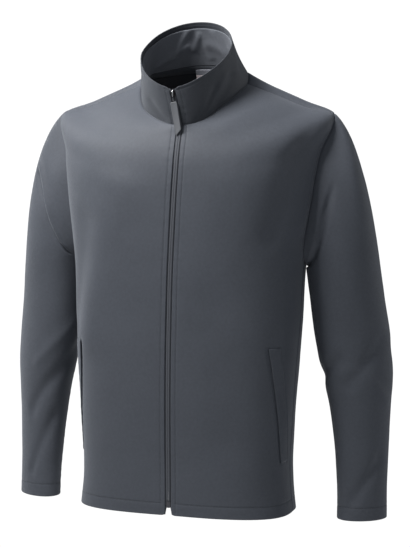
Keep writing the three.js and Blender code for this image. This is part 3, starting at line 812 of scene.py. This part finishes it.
HEM_WALL = 1.3  # extra thickness where the hem is turned up
HEM_FADE = 3  # above the turned part, until that thickness is gone
FOLD_OUT = {"low": 1.2, "zip": 0.9, "rim": 1.3}  # how far a turned edge stands out, in mm
CORNER = 5  # radius
SEAM_DEPTH = 1.0
SEAM_SOFT = 1.7


def hem_wall(up):
    return WALL + HEM_WALL * (1 - np.clip((up - HEM_TURN) / HEM_FADE, 0, 1))


def welt_surface(side):
    """A pocket welt's own surface: along from 0 at its lower end to 1, x mm across, positive outwards."""
    body = half_body(side)

    def surface(along, x):
        t = mix(WELT["low"][0], WELT["top"][0], along)
        middle = mix(WELT["low"][1], WELT["top"][1], along)
        _, across = slopes(body, t, middle)
        return body(t, middle + x / np.linalg.norm(across, axis=-1))

    return surface


def welt_line(side, x, start=0.0, end=1.0):
    along = np.linspace(start, end, 260)
    return mirrored(welt_surface(side)(along, np.full_like(along, x)), side)


def corner_cut(away):
    """How far a rounded corner is cut back, away mm from the hem or the collar's rim."""
    left = np.clip(CORNER - away, 0, CORNER)
    return CORNER - np.sqrt(CORNER**2 - left**2)


# The front sinks beside the pocket's welt: which side of it, seed, depth and puckers
GROOVE_WIDTH = 2.4
WELT_GROOVES = ((1, 3.5, 3.2, 0), (-1, 3.7, 2.6, 0.22))


def front_panel(side, word):
    t, front, _ = panel_rows(side)
    body = half_body(side)
    zip_edge = zip_turn(t, ZIP_SLOT + corner_cut(t * BODY_SPAN[0]))
    turns = row_turns(body, t, zip_edge, front, FINE_START, FINE_END, FRONT_COLUMNS)
    points = torso(t[:, None], side * turns)
    normals = grid_normals(points, False, side)
    points = crumpled(points, normals)
    points = round_edges(points, normals, ("high", "end"), SEAM_DEPTH, SEAM_SOFT)
    points = stitched(points, normals, zip_line(side, 0.004, 1.0), 1.0)
    points = stitched(points, normals, armhole_line(side, FRONT_HALF), 2.0)
    points = stitched(points, normals, hem_line(side * 0.04, side * 1.0), 3.0)
    for across, seed, depth, waves in WELT_GROOVES:
        groove = welt_line(side, across * (WELT["width"] / 2 + 1))
        points = stitched(points, normals, groove, seed, depth, GROOVE_WIDTH, waves)
    return cloth_piece(
        f"front_{word}", points, hem_wall(lengths_along(points, 0)), [SOFTSHELL, FLEECE], side,
        lips={"low": FOLD_OUT["low"], "start": FOLD_OUT["zip"]},
    )


def back_panel():
    t, _, left = panel_rows(1)
    _, _, right = panel_rows(-1)
    turns = row_turns(torso, t, left, 4 - right, FINE_END, FINE_END, BACK_COLUMNS)
    points = torso(t[:, None], turns)
    normals = grid_normals(points, False, 1)
    points = crumpled(points, normals)
    points = round_edges(points, normals, ("high", "start", "end"), SEAM_DEPTH, SEAM_SOFT)
    points = stitched(points, normals, armhole_line(1, BACK_HALF), 4.0)
    points = stitched(points, normals, armhole_line(-1, BACK_HALF), 5.0)
    points = stitched(points, normals, hem_line(1.0, 3.0), 6.0)
    return cloth_piece(
        "back", points, hem_wall(lengths_along(points, 0)), [SOFTSHELL, FLEECE],
        lips={"low": FOLD_OUT["low"]},
    )


def sunk_row(surface, t, turn, sunk):
    """A row of points at a depth under a surface that is crumpled like the cloth above it."""
    out = normal(surface, t, turn)
    return crumpled(surface(t, turn)[None], out[None])[0] - out * sunk


def turned_under(side, q):
    """Rings of a sleeve's seam allowance, tucked behind the body panels round the armhole."""
    body = half_body(side)
    rings = []
    for grow, sunk in ((ALLOWANCE, WALL + TUCKED), (1.0, WALL + TUCKED), (-0.1, WALL / 2)):
        rings.append(mirrored(sunk_row(body, *armhole(body, q, grow), sunk), side))
    return np.array(rings)


SLEEVE_AROUND = 112
SLEEVE_HEAD = 66
SLEEVE_BELOW = 110
SLEEVE_NEAR = [0.0, 0.7, 1.6, 3.0, 5.0, 7.5]  # rows next to the armhole seam, in mm
SLEEVE_START = 0.15
UNDERARM_SEAM = {"depth": 0.8, "width": 1.6, "waves": 0.35}


def sleeve_tube(side, word):
    surface = make_sleeve(side)
    mm = 1 / SLEEVE_SPAN[0]
    near = SLEEVE_START * mm + np.array(SLEEVE_NEAR) * mm
    head = np.concatenate([near[:-1], np.linspace(near[-1], CAP_SHARE, SLEEVE_HEAD)])
    cuff = 1 - np.array(LOW_ROWS[::-1]) * mm
    below = np.linspace(CAP_SHARE, cuff[0], SLEEVE_BELOW)[1:-1]
    k = np.concatenate([head, below, cuff])
    q = np.linspace(0, 4, SLEEVE_AROUND + 1)[:-1]
    points = surface(k[:, None], q)
    normals = grid_normals(points, True, side)
    points = crumpled(points, normals)
    points = round_edges(points, normals, ("low",), SEAM_DEPTH, SEAM_SOFT)
    seam_k = np.linspace(0.02, 1, 700)
    seam_path = surface(seam_k, np.full_like(seam_k, 2.0))
    points = stitched(points, normals, cuff_line(surface), 7.0 + side)
    points = stitched(points, normals, seam_path, 8.0 + side, **UNDERARM_SEAM)
    points = np.concatenate([turned_under(side, q), points])
    down = lengths_along(points, 0)
    return cloth_piece(
        f"sleeve_{word}", points, hem_wall(down[-1:] - down), [SOFTSHELL, FLEECE], side,
        ring=True, lips={"high": FOLD_OUT["low"]},
    )


COLLAR_ROWS = 44
COLLAR_COLUMNS = 170
COLLAR_HEIGHTS = np.concatenate([
    [0.002, 0.01, 0.025, 0.045], np.linspace(0.07, 0.9, COLLAR_ROWS), np.linspace(0.91, 1, 9),
])
RIM_BAND = 0.88  # height at which the collar's turned rim meets the facing inside
RIM_STITCH = 0.93
FACING_GAP = 1.0
COLLAR_FRONT = 57  # height of the collar beside the zip, along the cloth


def collar_allowance(turns):
    """Rows of the collar's seam allowance, tucked behind the body below the neck seam."""
    rows = []
    for down, sunk in ((ALLOWANCE, WALL + TUCKED), (0.8, WALL + TUCKED), (0, WALL / 2)):
        rows.append(sunk_row(torso, np.full_like(turns, 1 - down / BODY_SPAN[0]), turns, sunk))
    return np.array(rows)


def collar_creases(v, turns):
    return fold_lift(v[:, None], turns, COLLAR_FOLDS, COLLAR_SPAN)


def collar_band():
    v = COLLAR_HEIGHTS
    start = zip_turn(1 + v, ZIP_SLOT + corner_cut((1 - v) * COLLAR_FRONT))
    turns = row_turns(collar, v, start, 4 - start, FINE_START, FINE_START, COLLAR_COLUMNS)
    points = collar(v[:, None], turns)
    normals = grid_normals(points, False, 1)
    points = crumpled(points + normals * collar_creases(v, turns)[..., None], normals)
    points = round_edges(points, normals, ("low",))
    for side in (1, -1):
        points = stitched(points, normals, zip_line(side, 1.0, 1.95), 10.0 + side)
    rim_line = collar(np.full(PATH_POINTS, RIM_STITCH), np.linspace(0.06, 3.94, PATH_POINTS))
    points = stitched(points, normals, rim_line, 14.0, depth=0.35)
    points = np.concatenate([collar_allowance(turns[0]), points])
    lips = {"high": FOLD_OUT["rim"], "start": FOLD_OUT["zip"], "end": FOLD_OUT["zip"]}
    # the collar's cloth carries painted shade, a darker copy of the body's cloth
    return cloth_piece("collar", points, WALL, [COLLAR_PAINTED_SHADE_CLOTH, COLLAR_PAINTED_SHADE_CLOTH], lips=lips)


def collar_lining():
    v = np.linspace(0.0, RIM_BAND, COLLAR_ROWS)
    start = zip_turn(1 + v, FACING_START)
    turns = row_turns(collar, v, start, 4 - start, [0, 1, 2.5], [0, 1, 2.5], COLLAR_COLUMNS)
    points = collar(v[:, None], turns)
    normals = grid_normals(points, False, 1)
    creases = fold_lift(v[:, None], turns, FACING_FOLDS, COLLAR_SPAN)
    sunk = WALL + FACING_GAP - creases - collar_creases(v, turns)
    points = points - normals * sunk[..., None]
    return cloth_piece("collar_facing", points, FACING_WALL, [FACING, FACING])


WELT_ACROSS = [-11, -10.6, -10, -9.2, -8.4, -7.8, -7.2, -6, -3, 0, 3, 6, 8, 9.4, 10.3, 10.8, 11]
WELT_ALONG = np.concatenate([[0, 0.004, 0.01], np.linspace(0.02, 0.98, 90), [0.99, 0.996, 1]])
WELT_STITCH = 3  # from the welt's sewn edge
WELT_FOLD = 1.6  # from its other edge to the groove there


def pocket_welt(side, word):
    rows, across = np.meshgrid(WELT_ALONG, np.array(WELT_ACROSS, float), indexing="ij")
    points = mirrored(welt_surface(side)(rows, across), side)
    normals = grid_normals(points, False, side)
    points = crumpled(points, normals) + normals * (SKIN_GAP + WELT["thick"])
    points = round_edges(points, normals, ("low", "high", "start", "end"), depth=0.55, width=0.9)
    for line_x in (-WELT["width"] / 2 + WELT_STITCH, WELT["width"] / 2 - WELT_FOLD):
        points = stitched(points, normals, welt_line(side, line_x), 15.0 + side, depth=0.35)
    cloths = [SOFTSHELL, SOFTSHELL]
    return cloth_piece(f"pocket_welt_{word}", points, WELT["thick"], cloths, side)


# The zip: each tape's inner edge over the height of the front, and its raised coil
TAPE_EDGES = columns("s edge", [
    (0.001, 5.5),
    (0.018, 3.3),
    (0.0326, 3.3),
    (0.033, 0.03),
    (1.72, 0.03),
    (1.8, 1.4),
    (1.965, 1.6),
])
TAPE_ACROSS = [0, 0.2, 0.5, 1.0, 1.7, 2.3, 2.8, 3.1, 3.4, 3.9, 4.8, 6.5, 9, 12, 15]
COIL = {"middle": 1.5, "half": 1.85, "height": 1.7, "flat": 0.35, "row": 3, "rise": 300}
TAPE_ROWS = 520


def zip_tape(side, word):
    heights = TAPE_EDGES["s"]
    s = np.sort(np.concatenate([np.linspace(heights[0], heights[-1], TAPE_ROWS), heights[1:-1]]))
    edge = np.interp(s, heights, TAPE_EDGES["edge"])
    x = np.array(TAPE_ACROSS)
    across = x + edge[:, None] * np.maximum(1 - x / x[-1], 0)
    points = mirrored(front_strip(s[:, None], across), side)
    normals = grid_normals(points, False, side)
    inside = np.maximum(1 - ((x - COIL["middle"]) / COIL["half"]) ** 2, 0)
    round_coil = inside ** COIL["flat"] * COIL["height"]
    begun = np.clip((s - heights[COIL["row"]]) * COIL["rise"], 0, 1)
    lift = round_coil * begun[:, None] - (WALL + SKIN_GAP)
    points = points + normals * lift[..., None]
    return cloth_piece(f"zip_tape_{word}", points, TAPE_WALL, [TAPE, TAPE], side)


LABEL_ROWS = 21
LABEL_COLUMNS = 25
LABEL_SPLIT = 0.72  # share of the label's height that is pale


def neck_label():
    rise = np.linspace(0, 1, LABEL_ROWS)
    x = np.linspace(-LABEL["width"] / 2, LABEL["width"] / 2, LABEL_COLUMNS)
    t = np.linspace(LABEL["low"], LABEL["top"], LABEL_ROWS)[:, None]
    turn = (2 / np.pi) * np.arcsin(x / smooth(TORSO["at"], TORSO["half_w"], t))
    points = torso(t, 2 + turn)
    normals = grid_normals(points, False, 1)
    sag = LABEL["sag"] * (1 - (2 * x / LABEL["width"]) ** 2) * (1 - rise)[:, None]
    points = points - normals * (WALL + LABEL["gap"] + sag)[..., None]
    cloths = [LABEL_PALE, LABEL_GREY]
    obj = cloth_piece("neck_label", points, LABEL["thick"], cloths, made="woven")
    split = mix(points[..., 2].min(), points[..., 2].max(), LABEL_SPLIT) * MM
    for face in obj.data.polygons:
        face.material_index = 1 if face.center.z > split else 0
    return obj


# Stitching

STITCH = {"pitch": 3.4, "length": 2.5, "radius": 0.3}
STITCH_SIDES = 5
STITCH_RINGS = ((-0.5, 0.35), (-0.3, 1.0), (0.3, 1.0), (0.5, 0.35))  # place and size, as shares


def stitch_rows(name, panel, paths):
    """Short threads laid end to end along paths on a panel, each seated on its surface."""
    tree = BVHTree.FromObject(panel, bpy.context.evaluated_depsgraph_get())
    around = np.arange(STITCH_SIDES) * 2 * np.pi / STITCH_SIDES
    points, faces = [], []
    for path in map(sway, paths):
        run = run_along(path)
        count = int(run[-1] / STITCH["pitch"])
        for place in (np.arange(count) + 0.5) * run[-1] / count:
            tips = [
                np.array([np.interp(place + end * STITCH["length"] / 2, run, path[:, i]) for i in range(3)])
                for end in (-1, 1)
            ]
            seat, up, _, _ = tree.find_nearest(Vector((tips[0] + tips[1]) / 2) * MM)
            up = np.array(up)
            ahead = unit(tips[1] - tips[0])
            sideways = unit(np.cross(up, ahead))
            middle = np.array(seat) / MM + up * STITCH["radius"] * 0.5
            faces += bar_faces(len(points), len(STITCH_RINGS), STITCH_SIDES)
            for share, size in STITCH_RINGS:
                for angle in around:
                    spoke = sideways * math.cos(angle) + np.cross(ahead, sideways) * math.sin(angle)
                    points.append(middle + ahead * share * STITCH["length"] + spoke * STITCH["radius"] * size)
    obj = make_object(name, points, faces, [THREAD])
    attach(obj, "jacket")
    return obj


# Slider and pull. Local places are (x, y, z) in mm with -y out of the cloth and z up.

SLIDER = {"height": 1.84, "width": 8, "length": 11, "corner": 2.4, "face": 0.35, "back": 4.6, "lean_deg": 2}
# Its front and back plates in layers, as insets and depths from the outer face
FRONT_PLATE = ((0.9, 0), (0.3, 0.12), (0, 0.45), (0, 0.9), (0.35, 1.2))
BACK_PLATE = ((0.4, 1.2), (0, 0.8), (0, 0.4), (0.5, 0))
POST = {"width": 1.8, "length": 2.4, "corner": 0.5, "down": 2.6, "sunk": 0.6}
BRIDGE_PATH = [
    (0.4, -3.3), (-0.6, -3.6), (-1.9, -3.5), (-2.5, -2.6), (-2.6, -0.4), (-2.5, 2.2), (-2.0, 4.2),
    (-1.0, 5.4), (0.2, 6.1), (0.9, 6.3),
]  # the bridge's middle line, as (y, z)
BRIDGE_HALF = {"wide": 1.0, "thick": 0.5}
LINK = {"width": 6.8, "length": 10, "wire": 1.2, "corner": 1.5, "above_pin": 0.6, "lean_deg": 4}
TAB = {"width": 10.5, "length": 52, "thick": 2, "cut": 9, "corner": 2, "lean_deg": 10, "gap": 0.3}


# The tab's moulded rim, from its sunk face outwards: how far from the edge, and how deep
TAB_RIM = ((2.0, 0.3), (1.5, 0.1), (1.1, 0), (0.45, 0), (0.12, 0.15), (0, 0.45))


def rounded_outline(width, length, corner, steps=6):
    outline = []
    for sx, sz, start in ((1, 1, 0), (-1, 1, 90), (-1, -1, 180), (1, -1, 270)):
        for i in range(steps + 1):
            angle = math.radians(start + 90 * i / steps)
            outline.append((
                sx * (width / 2 - corner) + corner * math.cos(angle),
                sz * (length / 2 - corner) + corner * math.sin(angle),
            ))
    return np.array(outline)


def inset(outline, amount):
    """An outline moved inwards, for a convex shape whose points run anticlockwise."""
    ahead = unit(np.roll(outline, -1, axis=0) - outline)
    behind = unit(outline - np.roll(outline, 1, axis=0))
    left_ahead = np.stack([-ahead[:, 1], ahead[:, 0]], -1)
    left_behind = np.stack([-behind[:, 1], behind[:, 0]], -1)
    middle = unit(left_ahead + left_behind)
    stretch = 1 / np.maximum((middle * left_ahead).sum(-1), 0.5)
    return outline + middle * (amount * stretch)[:, None]


def layered(outline, layers):
    """A plate built up from layers, each an inset and a depth y, and closed at both ends."""
    points = []
    for amount, y in layers:
        points += [(x, y, z) for x, z in inset(outline, amount)]
    faces = bar_faces(0, len(layers), len(outline))
    return np.array(points, float), [face[::-1] for face in faces]


def swept(path, wide, thick, sides=12):
    """A bar with a flattened round section along a (y, z) path."""
    path = np.array(path)
    run = unit(np.gradient(path, axis=0))
    points = []
    for (y, z), (ahead_y, ahead_z) in zip(path, run):
        for i in range(sides):
            angle = 2 * math.pi * i / sides
            off = thick * math.sin(angle)
            points.append((wide * math.cos(angle), y + off * ahead_z, z - off * ahead_y))
    return np.array(points), bar_faces(0, len(path), sides)


def smooth_path(path, count):
    path = np.array(path, float)
    run = np.arange(len(path))
    at = np.linspace(0, len(path) - 1, count)
    return np.stack([smooth(run, path[:, 0], at), smooth(run, path[:, 1], at)], -1)


def slider_frame():
    """The slider's place on the centre front, the tilt of the cloth there and its lean to one side."""
    s = np.array([SLIDER["height"] - STEP, SLIDER["height"], SLIDER["height"] + STEP])
    low, centre, high = sway(front_strip(s, np.zeros(3)))
    up = unit(high - low)
    return centre, math.atan2(-up[1], up[2]), math.radians(SLIDER["lean_deg"])


def leaned(points, angle):
    """Points turned about y, so that what hangs below the origin goes towards the wearer's left."""
    x, y, z = points.T
    return np.stack([
        x * math.cos(angle) - z * math.sin(angle), y, x * math.sin(angle) + z * math.cos(angle),
    ], -1)


def placed(points, centre, tilt, lean):
    x, y, z = leaned(points, lean).T
    c, s = math.cos(tilt), math.sin(tilt)
    return np.stack([x, y * c - z * s, y * s + z * c], -1) + centre


def zip_slider():
    face, back = SLIDER["face"], SLIDER["back"]
    outline = rounded_outline(SLIDER["width"], SLIDER["length"], SLIDER["corner"])
    post = rounded_outline(POST["width"], POST["length"], POST["corner"])
    post += np.array([0, SLIDER["length"] / 2 - POST["down"]])
    parts = [
        (layered(outline, [(amount, face + y) for amount, y in FRONT_PLATE]), 0),
        (layered(outline, [(amount, back - y) for amount, y in BACK_PLATE]), 0),
        (layered(post, [(0, face + POST["sunk"]), (0, back - POST["sunk"])]), 0),
        (swept(smooth_path(BRIDGE_PATH, 40), BRIDGE_HALF["wide"], BRIDGE_HALF["thick"]), 1),
    ]
    points, faces, kinds, start = [], [], [], 0
    for (part_points, part_faces), kind in parts:
        points.append(part_points)
        faces += [[start + i for i in face_ids] for face_ids in part_faces]
        kinds += [kind] * len(part_faces)
        start += len(part_points)
    points = placed(np.concatenate(points), *slider_frame())
    obj = make_object("zip_slider_cast", points, faces, [BLACK_METAL, NICKEL], kinds)
    finish_piece(obj, "zip_slider")


def pull_pin():
    """Where the link turns on the slider: the CAD link's top, carried along by the sway."""
    link_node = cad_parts["pull_link"]
    corners = np.array([link_node.matrix_world @ Vector(corner) for corner in link_node.bound_box]) / MM
    y = corners[:, 1].mean()
    z = corners[:, 2].max() - LINK["above_pin"]
    return sway(np.array([0.0, y, z]))


def pull_link():
    """A wire ring through the slider's bridge and the top of the tab."""
    half = LINK["wire"] / 2
    line = rounded_outline(LINK["width"] - 2 * half, LINK["length"] - 2 * half, LINK["corner"])
    ahead = unit(np.roll(line, -1, axis=0) - np.roll(line, 1, axis=0))
    points, faces, sides, count = [], [], 10, len(line)
    for (x, z), (ahead_x, ahead_z) in zip(line, ahead):
        for i in range(sides):
            angle = 2 * math.pi * i / sides
            out = half * math.cos(angle)
            points.append((x + out * ahead_z, half * math.sin(angle), z - out * ahead_x))
    for ring in range(count):
        a, b = ring * sides, (ring + 1) % count * sides
        for i in range(sides):
            j = (i + 1) % sides
            faces.append([a + i, b + i, b + j, a + j])
    points = np.array(points) + np.array([0, 0, LINK["above_pin"] - LINK["length"] / 2])
    points = leaned(points, math.radians(LINK["lean_deg"])) + pull_pin()
    obj = make_object("pull_link_wire", points, faces, [BLACK_METAL])
    finish_piece(obj, "pull_link", "pull")


def pull_tab():
    x, foot = TAB["width"] / 2, -TAB["length"]
    corner = TAB["corner"]
    outline = [(-x, foot), (x, foot + TAB["cut"])]
    for sx, start in ((1, 0), (-1, 90)):
        for i in range(7):
            angle = math.radians(start + 15 * i)
            outline.append((sx * (x - corner) + corner * math.cos(angle), -corner + corner * math.sin(angle)))
    half = TAB["thick"] / 2
    rim = [(amount, rise - half) for amount, rise in TAB_RIM]
    layers = rim + [(amount, -y) for amount, y in rim[::-1]]
    points, faces = layered(np.array(outline), layers)
    lean = math.radians(TAB["lean_deg"])
    below = LINK["above_pin"] - LINK["length"] - TAB["gap"]
    hung = leaned(np.array([[0, 0, below]]), math.radians(LINK["lean_deg"]))[0]
    hung[2] -= math.sin(lean) * TAB["width"] / 2
    obj = make_object("pull_tab_moulded", leaned(points, lean) + hung + pull_pin(), faces, [RUBBER])
    finish_piece(obj, "pull_tab", "pull")


# The zip's box is the frame's own node and keeps the frame's plain black metal
zip_slider()
pull_link()
pull_tab()

SIDES = ((1, "left"), (-1, "right"))
fronts = {word: front_panel(side, word) for side, word in SIDES}
back = back_panel()
sleeves = {word: sleeve_tube(side, word) for side, word in SIDES}
collar_piece = collar_band()
lining = collar_lining()
welts = {word: pocket_welt(side, word) for side, word in SIDES}
tapes = {word: zip_tape(side, word) for side, word in SIDES}
label = neck_label()


def sew(name, panel, *paths):
    stitch_rows(f"{name}_stitches", panel, paths)


for side, word in SIDES:
    hem = hem_line(side * 0.09, side * 0.995)
    sew(f"front_{word}", fronts[word], zip_line(side, 0.03, 0.995), armhole_line(side, FRONT_HALF), hem)
    sew(f"pocket_welt_{word}", welts[word], welt_line(side, WELT_STITCH - WELT["width"] / 2, 0.02, 0.98))
    sew(f"sleeve_{word}", sleeves[word], cuff_line(make_sleeve(side)))
sew("back", back, armhole_line(1, BACK_HALF), armhole_line(-1, BACK_HALF), hem_line(1.005, 2.995))
sew("collar", collar_piece, zip_line(1, 1.02, 1.93), zip_line(-1, 1.02, 1.93))


# Camera, light and floor

VIEW = {"azimuth": 18, "elevation": 6.2, "distance": 2.7, "target": (0.028, 0.010, -0.310), "mm_px": 1.6}
PICTURE = (410, 547)


def photo_camera():
    azimuth, elevation = math.radians(VIEW["azimuth"]), math.radians(VIEW["elevation"])
    back = Vector((
        math.sin(azimuth) * math.cos(elevation),
        -math.cos(azimuth) * math.cos(elevation),
        math.sin(elevation),
    ))
    camera = bpy.data.cameras.new("camera")
    camera.sensor_fit = "VERTICAL"
    camera.sensor_height = 24
    focal_px = VIEW["distance"] / (VIEW["mm_px"] * MM)
    camera.lens = focal_px * camera.sensor_height / PICTURE[1]
    obj = bpy.data.objects.new("camera", camera)
    bpy.context.scene.collection.objects.link(obj)
    obj.location = Vector(VIEW["target"]) + back * VIEW["distance"]
    obj.rotation_euler = back.to_track_quat("Z", "Y").to_euler()
    bpy.context.scene.camera = obj


def area_light(name, place, target, size, power, colour=(1, 1, 1)):
    light = bpy.data.lights.new(name, "AREA")
    light.shape = "RECTANGLE"
    light.size, light.size_y = size
    light.energy = power
    light.color = colour
    obj = bpy.data.objects.new(name, light)
    bpy.context.scene.collection.objects.link(obj)
    obj.location = place
    obj.rotation_euler = (Vector(place) - Vector(target)).to_track_quat("Z", "Y").to_euler()


def studio():
    area_light("key", (-0.75, -0.75, 1.2), (-0.1, 0, -0.12), (0.6, 0.6), 55, (1, 0.985, 0.97))
    area_light("fill", (2.2, -2.3, 0.5), (0, 0, -0.25), (1.6, 1.8), 14, (0.95, 0.97, 1))
    area_light("rim_left", (-1.8, 0.6, 0.7), (-0.1, 0, -0.15), (0.6, 1.2), 15)
    area_light("rim_right", (1.8, 1.2, 0.3), (0, 0, -0.3), (0.6, 1.6), 8)
    world = bpy.data.worlds.new("studio")
    bpy.context.scene.world = world
    world.use_nodes = True
    tree = world.node_tree
    plain = tree.nodes["Background"]
    plain.inputs["Color"].default_value = (0.94, 0.97, 1, 1)
    plain.inputs["Strength"].default_value = 0.15
    seen = tree.nodes.new("ShaderNodeBackground")
    seen.inputs["Color"].default_value = (1, 1, 1, 1)
    seen.inputs["Strength"].default_value = 1.05
    ray = tree.nodes.new("ShaderNodeLightPath")
    choice = tree.nodes.new("ShaderNodeMixShader")
    tree.links.new(ray.outputs["Is Camera Ray"], choice.inputs["Fac"])
    tree.links.new(plain.outputs[0], choice.inputs[1])
    tree.links.new(seen.outputs[0], choice.inputs[2])
    tree.links.new(choice.outputs[0], tree.nodes["World Output"].inputs["Surface"])
    bpy.context.scene.view_settings.view_transform = "Standard"


FLOOR = {"z": -1.45, "radius": 2.2, "sides": 96}  # in m; z is where the wearer would stand


def floor():
    angles = np.arange(FLOOR["sides"]) * 2 * np.pi / FLOOR["sides"]
    x, y = FLOOR["radius"] * np.cos(angles), FLOOR["radius"] * np.sin(angles)
    ring = np.stack([x, y, np.full_like(x, FLOOR["z"])], -1) / MM
    material = solid_material("pale_floor", (0.86, 0.86, 0.86), roughness=0.8, grain_depth=0.1, mottle=0.01)
    make_object("floor", ring, [list(range(FLOOR["sides"]))], [material])


photo_camera()
studio()
floor()
